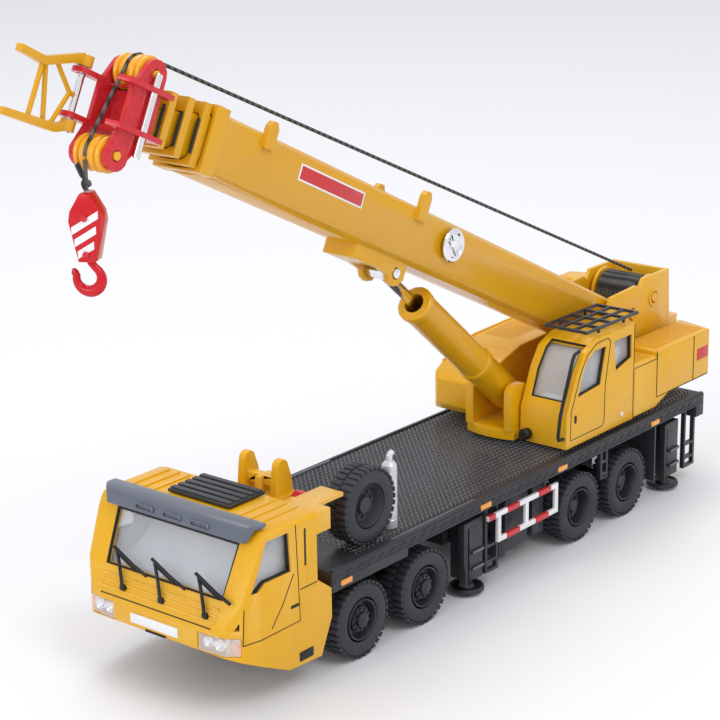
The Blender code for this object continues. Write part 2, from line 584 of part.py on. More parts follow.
def rollers(boom):
    """Rope rollers with three grooves, each on its own pin."""
    groove = []
    for centre in (-2.5, 0.0, 2.5):
        groove += [(centre - 1.1, ROLLER_RADIUS), (centre - 0.75, GROOVE_RADIUS),
                   (centre + 0.75, GROOVE_RADIUS),
                   (centre + 1.1, ROLLER_RADIUS)]
    profile = [(-5.9, 0), (-5.9, 1.0), (-4.1, 1.0), (-4.1, 3.4), *groove, (4.1, 3.4), (4.1, 1.0),
               (5.9, 1.0), (5.9, 0)]
    for name, spot in (("upper", UPPER_ROLLER), ("lower", LOWER_ROLLER)):
        origin = (spot[0], 0, spot[1])
        part(name + "_roller", AMBER_YELLOW, [lathe(profile, origin, steps=18)], origin=origin,
             parent=boom)


def jib(boom):
    """A flat lattice jib on a pin through the head's ears."""
    pin_x, pin_y = JIB_PIN
    y = (pin_y - 1.0, pin_y + 1.0)
    top = [(pin_x, 3.2), (223.9, 3.6), (234.2, -0.6), (241.4, -0.3), (241.4, -1.9), (233.6, -2.4),
           (225.4, 0.9), (pin_x, 0.9)]
    low = [(pin_x, -11.2), (pin_x, -13.4), (226.2, -14.9), (241.6, -15.7), (241.6, -14.1), (226.4, -12.9)]
    solids = [
        prism(top, *y),
        prism(low, *y),
        rod((pin_x, pin_y, 0.9), (pin_x, pin_y, 3.4), 1.8, 12),
        rod((pin_x, pin_y, -13.6), (pin_x, pin_y, -11.1), 1.8, 12),
        rod((pin_x, pin_y, -12.0), (pin_x, pin_y, 2.0), 0.8, 10),
    ]
    joint = (224.4, -5.6)
    braces = (((234.0, -1.0), (234.0, -14.6)), ((233.4, -1.0), (229.4, -14.0)), ((230.6, -0.2), joint),
              (joint, (227.4, -13.6)), ((pin_x, -5.6), joint))
    solids += [rod((a[0], pin_y, a[1]), (b[0], pin_y, b[1]), 0.6, 6) for a, b in braces]
    return part("jib", YELLOW, solids, origin=(pin_x, pin_y, 0), parent=boom)


def hose_reel(boom):
    profile = [(7.6, 0), (7.6, 3.6), (8.2, 4.5), (8.8, 4.5), (9.2, 2.8), (9.2, 0)]
    return part("hose_reel", CHROME, [lathe(profile, (94.4, 0, -3.6), steps=20)], parent=boom)


# Lift cylinder, rope and hook

def lift_cylinder(truck, pin, angle):
    """Barrel and rod, each in a frame whose x runs along the cylinder."""
    turn = (0.0, -angle, 0.0)
    barrel_frame = frame("lift_barrel_frame", (LIFT_FOOT[0], 0, LIFT_FOOT[1]), turn, truck)
    mouth = 57.9
    outside = [(1.5, 0), (1.5, 3.6), (3.0, 4.7), (20.6, 4.7), (21.0, 5.1), (22.6, 5.1), (23.0, 4.7),
               (55.6, 4.7),
               (56.0, 5.1), (mouth - 0.4, 5.1), (mouth, 4.7), (mouth, 0)]
    solids = [lathe(outside, along="x"), rod((0, -4.9, 0), (0, 4.9, 0), 3.4, 12),
              rod((0, -8.2, 0), (0, 8.2, 0), 1.5, 12)]
    bore = lathe([(16.0, 0), (16.0, 3.9), (mouth - 1.2, 3.9), (mouth - 1.2, 2.8), (mouth + 2.0, 2.8),
                  (mouth + 2.0, 0)],
                 along="x")
    part("lift_barrel", YELLOW, solids, [bore], parent=barrel_frame)
    rod_frame = frame("lift_rod_frame", (pin[0], 0, pin[1]), turn, truck)
    inside = 28.5
    solids = [rod((-inside, 0, 0), (-1.5, 0, 0), 1.6, 12), rod((0, -3.1, 0), (0, 3.1, 0), 2.2, 12),
              rod((0, -5.4, 0), (0, 5.4, 0), 1.3, 12)]
    part("lift_rod", CHROME, solids, parent=rod_frame)



def boom_point(x, z):
    """A point of the boom's frame in the truck's frame."""
    across, up = math.cos(BOOM_ANGLE), math.sin(BOOM_ANGLE)
    return (BOOM_FOOT[0] + x * across - z * up, BOOM_FOOT[1] + x * up + z * across)


def tangent_direction(first, second, first_radius, second_radius):
    """The angle of the line that touches the same side of two circles."""
    gap = Vector(second) - Vector(first)
    return math.atan2(gap.y, gap.x) + math.asin((first_radius - second_radius) / gap.length)


def ropes(truck):
    """The rope from the drum over both rollers to the hook block, in three lengths."""
    drum = COIL_RADIUS + GAP + ROPE_RADIUS
    upper, lower = boom_point(*UPPER_ROLLER), boom_point(*LOWER_ROLLER)
    slope = tangent_direction(WINCH, upper, drum, ROPE_WRAP)
    square = slope + math.pi / 2
    start = Vector(WINCH) + drum * Vector((math.cos(square), math.sin(square)))
    touch = Vector(upper) + ROPE_WRAP * Vector((math.cos(square), math.sin(square)))
    start = start + ROPE_LEAD * (touch - start).normalized()
    count = 60
    along = [start.lerp(touch, i / count) for i in range(count)]
    tube("hoist_rope", ROPE, [(p.x, 0, p.y) for p in along], ROPE_RADIUS, truck)
    fall = tangent_direction(upper, lower, ROPE_WRAP, ROPE_WRAP) + math.pi / 2
    over = arc(upper, ROPE_WRAP, math.degrees(square) - 2.0, math.degrees(fall), 8)
    under = arc(lower, ROPE_WRAP, math.degrees(fall), 0.0, 4)
    tube("head_rope", ROPE, [(x, 0, z) for x, z in over + under], ROPE_RADIUS, truck)
    hang = (lower[0] + ROPE_WRAP, 0.0, lower[1])
    drops = [hang[2] - GAP - (hang[2] - GAP - BLOCK_TOP - GAP) * i / 4 for i in range(5)]
    tube("hook_line", ROPE, [(hang[0], 0, z) for z in drops], ROPE_RADIUS, truck)
    return hang


def hook_and_block(truck, hang):
    """The block hangs turned about the vertical, with the hook's stem free to turn in it."""
    block_frame = frame("hook_block_frame", (hang[0], 0, 0), (0, 0, BLOCK_TURN), truck)
    low, high = BLOCK_BOTTOM, BLOCK_TOP
    outline = [(-1.9, low), (1.9, low), (3.8, high - 6.2), (3.4, high - 4.0), (1.0, high), (-1.0, high),
               (-3.4, high - 4.0), (-3.8, high - 6.2)]
    stem_hole = rod((0, 0, low - 5.0), (0, 0, low + 3.4), 1.5, 12)
    part("hook_block", RED, [prism(outline, -2.4, 2.4, "x")], [stem_hole], parent=block_frame)
    middle = (-0.5, low - 4.1)
    bend = [(0, y, z) for y, z in arc(middle, 2.9, 55, -190, 12)]
    tip = (0, middle[0] - 3.4, middle[1] + 1.9)
    return tube("hook", RED, [(0, 0, low + 3.0), (0, 0, low - 0.4)] + bend + [tip], 1.1, block_frame)


def centre(truck):
    """Move the truck so that the whole model stands centred over the origin."""
    bpy.context.view_layer.update()
    solid_pieces = [thing for thing in bpy.data.objects if thing.type == "MESH"]
    reach = [(thing.matrix_world @ spot.co).x for thing in solid_pieces for spot in thing.data.vertices]
    truck.location.x -= (min(reach) + max(reach)) / 2


def main():
    clear_scene()
    truck = frame("truck", (0, 0, 0))
    chassis_frame(truck)
    cab_shell(truck)
    cab_fittings(truck)
    deck_fittings(truck)
    for number, x in enumerate(AXLES, 1):
        wheelset(number, x, truck)
    for place, x in OUTRIGGERS.items():
        outrigger(place, x, "left", 1, truck)
        outrigger(place, x, "right", -1, truck)
    slew_platform(truck)
    operator_station(truck)
    engine_hoods(truck)
    winch(truck)
    boom = frame("boom", (BOOM_FOOT[0], 0, BOOM_FOOT[1]), (0, -BOOM_ANGLE, 0), truck)
    base_section(boom)
    sliding_sections(boom)
    boom_head(boom)
    rollers(boom)
    jib(boom)
    hose_reel(boom)
    pin = boom_point(*LIFT_PIN)
    angle = math.atan2(pin[1] - LIFT_FOOT[1], pin[0] - LIFT_FOOT[0])
    lift_cylinder(truck, pin, angle)
    hook_and_block(truck, ropes(truck))
    centre(truck)


main()
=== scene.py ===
"""Looks of the toy crane truck: finishes, fine shapes, rope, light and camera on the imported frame."""
import logging
import math
from dataclasses import dataclass, field
from enum import Enum

import bpy
from mathutils import Matrix, Vector


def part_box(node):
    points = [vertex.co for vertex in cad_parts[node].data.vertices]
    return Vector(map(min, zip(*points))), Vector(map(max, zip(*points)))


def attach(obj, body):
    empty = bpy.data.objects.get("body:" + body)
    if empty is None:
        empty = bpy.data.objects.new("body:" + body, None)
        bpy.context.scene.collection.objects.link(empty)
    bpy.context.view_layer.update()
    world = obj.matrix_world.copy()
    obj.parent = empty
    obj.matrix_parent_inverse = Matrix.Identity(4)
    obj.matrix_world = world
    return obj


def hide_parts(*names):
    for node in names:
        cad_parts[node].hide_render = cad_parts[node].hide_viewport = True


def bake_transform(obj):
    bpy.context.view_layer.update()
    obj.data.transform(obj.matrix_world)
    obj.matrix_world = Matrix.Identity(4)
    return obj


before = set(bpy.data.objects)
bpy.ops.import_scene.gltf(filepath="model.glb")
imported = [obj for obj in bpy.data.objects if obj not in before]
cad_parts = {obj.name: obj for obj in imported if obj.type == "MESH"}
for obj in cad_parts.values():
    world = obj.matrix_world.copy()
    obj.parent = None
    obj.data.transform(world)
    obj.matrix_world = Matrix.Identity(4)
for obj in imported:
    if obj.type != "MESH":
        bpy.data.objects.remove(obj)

LOG = logging.getLogger("crane")
MM = 0.001
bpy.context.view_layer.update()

Point = tuple[float, float, float]
Flat = tuple[float, float]
Pair = tuple[float, float]

# The truck's own frame: x is zero at the front axle, z is zero on the ground, in millimetres.
TYRE_RADIUS = 10.0
ORIGIN_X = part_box("tyre_1_left")[0][0] / MM + TYRE_RADIUS
HALF_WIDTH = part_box("chassis_frame")[1][1] / MM
DECK_TOP = 26.7
DECK_FRONT = 12.0
DECK_REAR = -160.5
AXLES = (0.0, -25.3, -95.9, -120.7)
SIDES = (("left", 1), ("right", -1))
OUTRIGGERS = {"front": -48.0, "rear": -147.0}
WINCH = (-157.6, 54.8)
BOOM_FOOT = (-146.0, 52.0)
BOOM_ANGLE = math.radians(26.0)
UPPER_ROLLER = (212.7, 3.4)
LOWER_ROLLER = (217.5, -16.3)
ROPE_RADIUS = 0.45
ROPE_WRAP = 3.95
ROPE_LEAD = 5.9
COIL_RADIUS = 6.2
BLOCK_TURN = math.radians(27.0)


def truck_point(x: float, y: float, z: float) -> Vector:
    """A point of the truck's own frame, in millimetres, as a world point in metres."""
    return Vector((x + ORIGIN_X, y, z)) * MM


def boom_frame() -> Matrix:
    """The boom's own frame, x along the boom from its foot, as a matrix from millimetres to metres."""
    foot = Matrix.Translation(truck_point(BOOM_FOOT[0], 0.0, BOOM_FOOT[1]))
    return foot @ Matrix.Rotation(-BOOM_ANGLE, 4, "Y") @ Matrix.Scale(MM, 4)


TRUCK = Matrix.Translation(truck_point(0.0, 0.0, 0.0)) @ Matrix.Scale(MM, 4)
BOOM = boom_frame()


class Slot(Enum):
    """The record's material slots."""

    YELLOW = "yellow_paint"
    BLACK = "black_plastic"
    RUBBER = "tyre_rubber"
    CLEAR = "clear_plastic"
    GREY = "grey_plastic"
    WHITE = "white_paint"
    SILVER = "silver_paint"
    RED = "red_paint"
    CHROME = "chrome"
    ROLLER = "yellow_plastic"
    ROPE = "rope_black"


class Axis(Enum):
    """The direction that an outline is extruded or spun along."""

    X = "x"
    Y = "y"
    Z = "z"


# Finishes


class Effects:
    """Shader node groups that several finishes share, each built once."""

    @staticmethod
    def group(name: str, inputs: list[tuple[str, str, object]], outputs: list[tuple[str, str]]
              ) -> tuple[bpy.types.NodeTree, bpy.types.Node, bpy.types.Node]:
        """Make a node group with named sockets.

        Args:
            name: The group's name.
            inputs: (name, socket type, default) of each input.
            outputs: (name, socket type) of each output.

        Returns:
            The group, its input node and its output node.
        """
        tree = bpy.data.node_groups.new(name, "ShaderNodeTree")
        for label, kind, value in inputs:
            socket = tree.interface.new_socket(label, in_out="INPUT", socket_type=kind)
            if value is not None:
                socket.default_value = value
        for label, kind in outputs:
            tree.interface.new_socket(label, in_out="OUTPUT", socket_type=kind)
        return tree, tree.nodes.new("NodeGroupInput"), tree.nodes.new("NodeGroupOutput")

    @classmethod
    def drift(cls) -> bpy.types.NodeTree:
        """Slow colour and gloss changes over a surface.

        Returns:
            The group, with Colour and Gloss outputs.
        """
        found = bpy.data.node_groups.get("colour_drift")
        if found:
            return found
        tree, entry, leave = cls.group(
            "colour_drift",
            [("Vector", "NodeSocketVector", None), ("Base", "NodeSocketColor", (1, 1, 1, 1)),
             ("Shade", "NodeSocketColor", (0, 0, 0, 1)), ("Scale", "NodeSocketFloat", 60.0)],
            [("Colour", "NodeSocketColor"), ("Gloss", "NodeSocketFloat")],
        )
        noise = tree.nodes.new("ShaderNodeTexNoise")
        noise.inputs["Detail"].default_value = 4.0
        mix = tree.nodes.new("ShaderNodeMix")
        mix.data_type = "RGBA"
        tree.links.new(entry.outputs["Vector"], noise.inputs["Vector"])
        tree.links.new(entry.outputs["Scale"], noise.inputs["Scale"])
        tree.links.new(noise.outputs["Fac"], mix.inputs["Factor"])
        tree.links.new(entry.outputs["Base"], mix.inputs["A"])
        tree.links.new(entry.outputs["Shade"], mix.inputs["B"])
        tree.links.new(mix.outputs["Result"], leave.inputs["Colour"])
        tree.links.new(noise.outputs["Fac"], leave.inputs["Gloss"])
        return tree

    @classmethod
    def edge_highlight(cls) -> bpy.types.NodeTree:
        """Painted highlight: a lighter colour on sharp edges, broken up by noise.

        Returns:
            The group, with a Colour output.
        """
        found = bpy.data.node_groups.get("painted_edge_highlight")
        if found:
            return found
        tree, entry, leave = cls.group(
            "painted_edge_highlight",
            [("Vector", "NodeSocketVector", None), ("Paint", "NodeSocketColor", (1, 1, 1, 1)),
             ("Bare", "NodeSocketColor", (1, 1, 1, 1)), ("Amount", "NodeSocketFloat", 0.3)],
            [("Colour", "NodeSocketColor")],
        )
        geometry = tree.nodes.new("ShaderNodeNewGeometry")
        ramp = tree.nodes.new("ShaderNodeMapRange")
        ramp.inputs["From Min"].default_value = 0.53
        ramp.inputs["From Max"].default_value = 0.66
        noise = tree.nodes.new("ShaderNodeTexNoise")
        noise.inputs["Scale"].default_value = 700.0
        product = tree.nodes.new("ShaderNodeMath")
        product.operation = "MULTIPLY"
        strength = tree.nodes.new("ShaderNodeMath")
        strength.operation = "MULTIPLY"
        mix = tree.nodes.new("ShaderNodeMix")
        mix.data_type = "RGBA"
        tree.links.new(geometry.outputs["Pointiness"], ramp.inputs["Value"])
        tree.links.new(entry.outputs["Vector"], noise.inputs["Vector"])
        tree.links.new(ramp.outputs["Result"], product.inputs[0])
        tree.links.new(noise.outputs["Fac"], product.inputs[1])
        tree.links.new(product.outputs["Value"], strength.inputs[0])
        tree.links.new(entry.outputs["Amount"], strength.inputs[1])
        tree.links.new(strength.outputs["Value"], mix.inputs["Factor"])
        tree.links.new(entry.outputs["Paint"], mix.inputs["A"])
        tree.links.new(entry.outputs["Bare"], mix.inputs["B"])
        tree.links.new(mix.outputs["Result"], leave.inputs["Colour"])
        return tree

    @classmethod
    def grain(cls) -> bpy.types.NodeTree:
        """Fine unevenness of a moulded or sprayed surface.

        Returns:
            The group, with a Height output.
        """
        found = bpy.data.node_groups.get("fine_grain")
        if found:
            return found
        tree, entry, leave = cls.group(
            "fine_grain",
            [("Vector", "NodeSocketVector", None), ("Scale", "NodeSocketFloat", 1500.0),
             ("Swell", "NodeSocketFloat", 0.5)],
            [("Height", "NodeSocketFloat")],
        )
        fine = tree.nodes.new("ShaderNodeTexNoise")
        fine.inputs["Detail"].default_value = 3.0
        broad = tree.nodes.new("ShaderNodeTexNoise")
        broad.inputs["Scale"].default_value = 160.0
        blend = tree.nodes.new("ShaderNodeMix")
        tree.links.new(entry.outputs["Vector"], fine.inputs["Vector"])
        tree.links.new(entry.outputs["Vector"], broad.inputs["Vector"])
        tree.links.new(entry.outputs["Scale"], fine.inputs["Scale"])
        tree.links.new(entry.outputs["Swell"], blend.inputs["Factor"])
        tree.links.new(fine.outputs["Fac"], blend.inputs["A"])
        tree.links.new(broad.outputs["Fac"], blend.inputs["B"])
        tree.links.new(blend.outputs["Result"], leave.inputs["Height"])
        return tree


@dataclass(frozen=True)
class Finish:
    """A sprayed, moulded or plated finish with drift, grain and a painted highlight on sharp edges."""

    name: str
    slot: Slot
    base: Point
    shade: Point
    # Colour of the painted highlight on sharp edges.
    highlight_colour: Point = (0.6, 0.6, 0.6)
    gloss: Pair = (0.25, 0.4)
    metallic: float = 0.0
    coat: float = 0.0
    # Strength of the painted highlight on sharp edges.
    edge_highlight: float = 0.3
    grain: float = 1500.0
    bump: float = 0.12
    specular: float = 0.5

    def material(self) -> bpy.types.Material:
        """Build the material once.

        Returns:
            The material.
        """
        found = bpy.data.materials.get("look_" + self.name)
        if found:
            return found
        material = bpy.data.materials.new("look_" + self.name)
        material.use_nodes = True
        tree = material.node_tree
        shader = tree.nodes["Principled BSDF"]
        shader.inputs["Metallic"].default_value = self.metallic
        shader.inputs["Coat Weight"].default_value = self.coat
        shader.inputs["Coat Roughness"].default_value = 0.08
        shader.inputs["Specular IOR Level"].default_value = self.specular
        place = tree.nodes.new("ShaderNodeTexCoord")
        drift = self.put(tree, Effects.drift(), Base=self.base, Shade=self.shade, Scale=70.0)
        # Painted highlight: sharp edges turn to a lighter colour.
        edge_highlight = self.put(tree, Effects.edge_highlight(), Bare=self.highlight_colour, Amount=self.edge_highlight)
        grain = self.put(tree, Effects.grain(), Scale=self.grain)
        for node in (drift, edge_highlight, grain):
            tree.links.new(place.outputs["Object"], node.inputs["Vector"])
        gloss = tree.nodes.new("ShaderNodeMapRange")
        gloss.inputs["From Min"].default_value = 0.3
        gloss.inputs["From Max"].default_value = 0.7
        gloss.inputs["To Min"].default_value = self.gloss[0]
        gloss.inputs["To Max"].default_value = self.gloss[1]
        bump = tree.nodes.new("ShaderNodeBump")
        bump.inputs["Strength"].default_value = self.bump
        bump.inputs["Distance"].default_value = 0.00012
        colour = self.pattern(tree, place, drift.outputs["Colour"])
        tree.links.new(colour, edge_highlight.inputs["Paint"])
        tree.links.new(edge_highlight.outputs["Colour"], shader.inputs["Base Color"])
        tree.links.new(drift.outputs["Gloss"], gloss.inputs["Value"])
        tree.links.new(gloss.outputs["Result"], shader.inputs["Roughness"])
        tree.links.new(grain.outputs["Height"], bump.inputs["Height"])
        tree.links.new(bump.outputs["Normal"], shader.inputs["Normal"])
        self.extras(tree, shader)
        return material

    @staticmethod
    def put(tree: bpy.types.NodeTree, effect: bpy.types.NodeTree, **values: object) -> bpy.types.Node:
        """Place a shared effect in a material.

        Args:
            tree: The material's node tree.
            effect: The group.
            **values: Values of the group's inputs, colours as three numbers.

        Returns:
            The group node.
        """
        node = tree.nodes.new("ShaderNodeGroup")
        node.node_tree = effect
        for label, value in values.items():
            node.inputs[label].default_value = (*value, 1.0) if isinstance(value, tuple) else value
        return node

    def pattern(self, tree: bpy.types.NodeTree, place: bpy.types.Node,
                colour: bpy.types.NodeSocket) -> bpy.types.NodeSocket:
        """The paint's pattern; a plain finish has none."""
        return colour

    def extras(self, tree: bpy.types.NodeTree, shader: bpy.types.Node) -> None:
        """Further settings of the shader; a plain finish has none."""


@dataclass(frozen=True)
class ClearFinish(Finish):
    """Clear moulded plastic."""

    clear: float = 0.3

    def extras(self, tree: bpy.types.NodeTree, shader: bpy.types.Node) -> None:
        """Let light through the plastic."""
        shader.inputs["Alpha"].default_value = self.clear


@dataclass(frozen=True)
class TwistedFinish(Finish):
    """Thread whose strands wind round it."""

    def pattern(self, tree: bpy.types.NodeTree, place: bpy.types.Node,
                colour: bpy.types.NodeSocket) -> bpy.types.NodeSocket:
        """Slanting light and dark strands.

        Args:
            tree: The material's node tree.
            place: The Texture Coordinate node.
            colour: The thread's colour socket.

        Returns:
            The socket of the strand colour.
        """
        wave = tree.nodes.new("ShaderNodeTexWave")
        wave.inputs["Scale"].default_value = 150.0
        wave.inputs["Distortion"].default_value = 1.5
        mix = tree.nodes.new("ShaderNodeMix")
        mix.data_type = "RGBA"
        mix.inputs["B"].default_value = (0.12, 0.115, 0.11, 1.0)
        tree.links.new(place.outputs["Object"], wave.inputs["Vector"])
        tree.links.new(wave.outputs["Fac"], mix.inputs["Factor"])
        tree.links.new(colour, mix.inputs["A"])
        return mix.outputs["Result"]


YELLOW = Finish("yellow_enamel", Slot.YELLOW, (0.76, 0.40, 0.006), (0.71, 0.36, 0.004),
                (0.85, 0.6, 0.2), (0.24, 0.36), coat=0.12, edge_highlight=0.4, specular=0.3)
BOOM_YELLOW = Finish("boom_enamel", Slot.YELLOW, (0.70, 0.355, 0.006), (0.65, 0.315, 0.004),
                     (0.85, 0.6, 0.2), (0.2, 0.3), coat=0.18, edge_highlight=0.35, specular=0.3)
BLACK = Finish("black_moulding", Slot.BLACK, (0.018, 0.018, 0.023), (0.012, 0.012, 0.016),
               (0.10, 0.105, 0.12), (0.38, 0.52), edge_highlight=0.5, bump=0.2)
# Its strong painted edge highlight puts glint-like light spots on the tread bars' edges.
DECK_BLACK = Finish("deck_moulding", Slot.BLACK, (0.026, 0.026, 0.03), (0.016, 0.016, 0.019),
                    (0.16, 0.16, 0.17), (0.14, 0.24), edge_highlight=0.7, specular=0.8)
# Dark seams, seals and wipers; also the painted shadow gaps behind the boom collars.
DARK = Finish("dark_gap", Slot.BLACK, (0.006, 0.006, 0.007), (0.004, 0.004, 0.004), (0.02, 0.02, 0.02),
              (0.5, 0.7), edge_highlight=0.1)
RUBBER = Finish("matt_rubber", Slot.RUBBER, (0.03, 0.031, 0.038), (0.022, 0.023, 0.029), (0.08, 0.08, 0.09),
                (0.55, 0.7), edge_highlight=0.35, bump=0.3)
CLEAR = ClearFinish("clear_moulding", Slot.CLEAR, (0.84, 0.9, 0.95), (0.8, 0.86, 0.92), (0.9, 0.9, 0.9),
                    (0.03, 0.07), edge_highlight=0.0, bump=0.02)
LENS = ClearFinish("lamp_lens", Slot.CLEAR, (0.95, 0.95, 0.95), (0.9, 0.9, 0.92), (0.9, 0.9, 0.9),
                   (0.05, 0.12), edge_highlight=0.0, grain=2500.0, bump=0.25)
GREY = Finish("visor_plastic", Slot.GREY, (0.105, 0.12, 0.155), (0.085, 0.1, 0.132), (0.25, 0.28, 0.32),
              (0.28, 0.4), coat=0.3, edge_highlight=0.4)
WHITE = Finish("white_enamel", Slot.WHITE, (0.82, 0.82, 0.83), (0.76, 0.76, 0.77), (0.9, 0.9, 0.9),
               (0.3, 0.42), edge_highlight=0.2)
CABIN = Finish("cabin_lining", Slot.WHITE, (0.82, 0.83, 0.87), (0.7, 0.71, 0.75), (0.9, 0.9, 0.9),
               (0.5, 0.65), edge_highlight=0.1)
SILVER = Finish("silver_paint", Slot.SILVER, (0.68, 0.69, 0.71), (0.6, 0.61, 0.63), (0.8, 0.8, 0.8),
                (0.3, 0.45), metallic=0.35, edge_highlight=0.3)
RED = Finish("red_enamel", Slot.RED, (0.60, 0.003, 0.01), (0.5, 0.002, 0.008), (0.75, 0.15, 0.17),
             (0.16, 0.26), coat=0.15, edge_highlight=0.3, specular=0.3)
LABEL_RED = Finish("label_red", Slot.RED, (0.58, 0.03, 0.035), (0.54, 0.025, 0.03), (0.6, 0.1, 0.1),
                   (0.3, 0.4), edge_highlight=0.0, bump=0.04)
CHROME = Finish("bright_chrome", Slot.CHROME, (0.86, 0.86, 0.87), (0.8, 0.8, 0.82), (0.95, 0.95, 0.95),
                (0.07, 0.16), metallic=1.0, edge_highlight=0.1, bump=0.05)
AMBER = Finish("amber_lamp", Slot.ROLLER, (0.85, 0.33, 0.04), (0.8, 0.28, 0.03), (0.9, 0.5, 0.2),
               (0.2, 0.3), coat=0.3, edge_highlight=0.2)
ROLLER = Finish("roller_plastic", Slot.ROLLER, (0.86, 0.40, 0.004), (0.8, 0.34, 0.003), (0.9, 0.6, 0.1),
                (0.22, 0.34), coat=0.3, edge_highlight=0.2)
ROPE = TwistedFinish("black_thread", Slot.ROPE, (0.012, 0.011, 0.011), (0.02, 0.019, 0.018),
                     (0.05, 0.05, 0.05), (0.7, 0.9), edge_highlight=0.0, grain=5000.0, bump=0.6)


# Making pieces


class Bench:
    """Modelling steps that the pieces share. Sizes are in millimetres of the frame that is given."""

    @staticmethod
    def fresh() -> None:
        """Leave edit mode and deselect everything."""
        if bpy.context.object and bpy.context.object.mode != "OBJECT":
            bpy.ops.object.mode_set(mode="OBJECT")
        bpy.ops.object.select_all(action="DESELECT")

    @staticmethod
    def pick(thing: bpy.types.Object) -> None:
        """Make one object the only selected and active one."""
        Bench.fresh()
        thing.select_set(True)
        bpy.context.view_layer.objects.active = thing

    @staticmethod
    def apply(thing: bpy.types.Object) -> None:
        """Apply every modifier of an object."""
        Bench.pick(thing)
        for modifier in list(thing.modifiers):
            bpy.ops.object.modifier_apply(modifier=modifier.name)

    @staticmethod
    def soften(thing: bpy.types.Object, width: float, segments: int = 2, angle: float = 30.0) -> None:
        """Round the edges sharper than an angle.

        Args:
            thing: The piece, already in metres.
            width: The rounding's width in millimetres.
            segments: Facets across the rounding.
            angle: The least angle between faces, in degrees, that is rounded.
        """
        bevel = thing.modifiers.new("soften", "BEVEL")
        bevel.width = width * MM
        bevel.segments = segments
        bevel.limit_method = "ANGLE"
        bevel.angle_limit = math.radians(angle)
        Bench.apply(thing)

    @staticmethod
    def dress(thing: bpy.types.Object, name: str, look: Finish, body: str,
              *stands_for: str) -> bpy.types.Object:
        """Name a piece, give it its finish and fix it to its body.

        Args:
            thing: The piece.
            name: Its name.
            look: Its finish.
            body: The body that it rides on.
            *stands_for: CAD nodes that it replaces.

        Returns:
            The piece.
        """
        thing.name = name
        thing.data.name = name
        thing.data.materials.clear()
        thing.data.materials.append(look.material())
        if thing.type == "MESH":
            Bench.pick(thing)
            bpy.ops.object.shade_smooth_by_angle(angle=math.radians(32.0))
        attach(thing, body)
        if stands_for:
            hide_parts(*stands_for)
        return thing

    @staticmethod
    def block(x: Pair, y: Pair, z: Pair, place: Matrix = TRUCK, edge: float = 0.15) -> bpy.types.Object:
        """A block with rounded edges.

        Args:
            x: Its range along x.
            y: Its range along y.
            z: Its range along z.
            place: The frame that the ranges are in.
            edge: The width of its rounded edges.

        Returns:
            The block.
        """
        Bench.fresh()
        middle = [sum(pair) / 2 for pair in (x, y, z)]
        size = [abs(pair[1] - pair[0]) for pair in (x, y, z)]
        bpy.ops.mesh.primitive_cube_add(size=1.0, location=middle, scale=size)
        thing = bpy.context.object
        bpy.ops.object.transform_apply(location=True, rotation=True, scale=True)
        thing.data.transform(place)
        if edge:
            Bench.soften(thing, edge)
        return thing

    @staticmethod
    def plate(outline: list[Flat], low: float, high: float, axis: Axis = Axis.Y, place: Matrix = TRUCK,
              edge: float = 0.15) -> bpy.types.Object:
        """A plate of any outline, extruded along an axis.

        Args:
            outline: Its corners, as (x, z) along y, (x, y) along z or (y, z) along x.
            low: Where it starts on the axis.
            high: Where it ends.
            axis: The axis.
            place: The frame that the sizes are in.
            edge: The width of its rounded edges.

        Returns:
            The plate.
        """
        Bench.fresh()
        bpy.ops.mesh.primitive_circle_add(vertices=len(outline), fill_type="NGON")
        thing = bpy.context.object
        step = Vector((0.0, 0.0, 0.0))
        step["xyz".index(axis.value)] = high - low
        for spot, (first, second) in zip(thing.data.vertices, outline):
            spot.co = {Axis.X: (low, first, second), Axis.Y: (first, low, second),
                       Axis.Z: (first, second, low)}[axis]
        bpy.ops.object.mode_set(mode="EDIT")
        bpy.ops.mesh.select_all(action="SELECT")
        bpy.ops.mesh.extrude_region_move(TRANSFORM_OT_translate={"value": step})
        bpy.ops.mesh.select_all(action="SELECT")
        bpy.ops.mesh.normals_make_consistent(inside=False)
        bpy.ops.object.mode_set(mode="OBJECT")
        thing.data.transform(place)
        if edge:
            Bench.soften(thing, edge)
        return thing

    @staticmethod
    def spun(profile: list[Flat], centre: Point, axis: Axis = Axis.Y, place: Matrix = TRUCK,
             steps: int = 48) -> bpy.types.Object:
        """A turned piece.

        Args:
            profile: (distance along the axis, radius) points; closed when it starts off the axis.
            centre: A point on the axis.
            axis: The axis.
            place: The frame that the sizes are in.
            steps: Facets round the axis.

        Returns:
            The turned piece.
        """
        along = {Axis.X: Vector((1, 0, 0)), Axis.Y: Vector((0, 1, 0)), Axis.Z: Vector((0, 0, 1))}[axis]
        out = Vector((1, 0, 0)) if axis is Axis.Z else Vector((0, 0, 1))
        points = [Vector(centre) + along * d + out * r for d, r in profile]
        edges = [(i, i + 1) for i in range(len(points) - 1)]
        if profile[0][1] > 0.0:
            edges.append((len(points) - 1, 0))
        mesh = bpy.data.meshes.new("profile")
        mesh.from_pydata([tuple(p) for p in points], edges, [])
        thing = bpy.data.objects.new("profile", mesh)
        bpy.context.scene.collection.objects.link(thing)
        Bench.pick(thing)
        bpy.ops.object.mode_set(mode="EDIT")
        bpy.ops.mesh.select_all(action="SELECT")
        bpy.ops.mesh.spin(steps=steps, angle=math.tau, center=centre, axis=along)
        bpy.ops.mesh.select_all(action="SELECT")
        bpy.ops.mesh.remove_doubles(threshold=0.0005)
        bpy.ops.mesh.normals_make_consistent(inside=False)
        bpy.ops.object.mode_set(mode="OBJECT")
        thing.data.transform(place)
        return thing

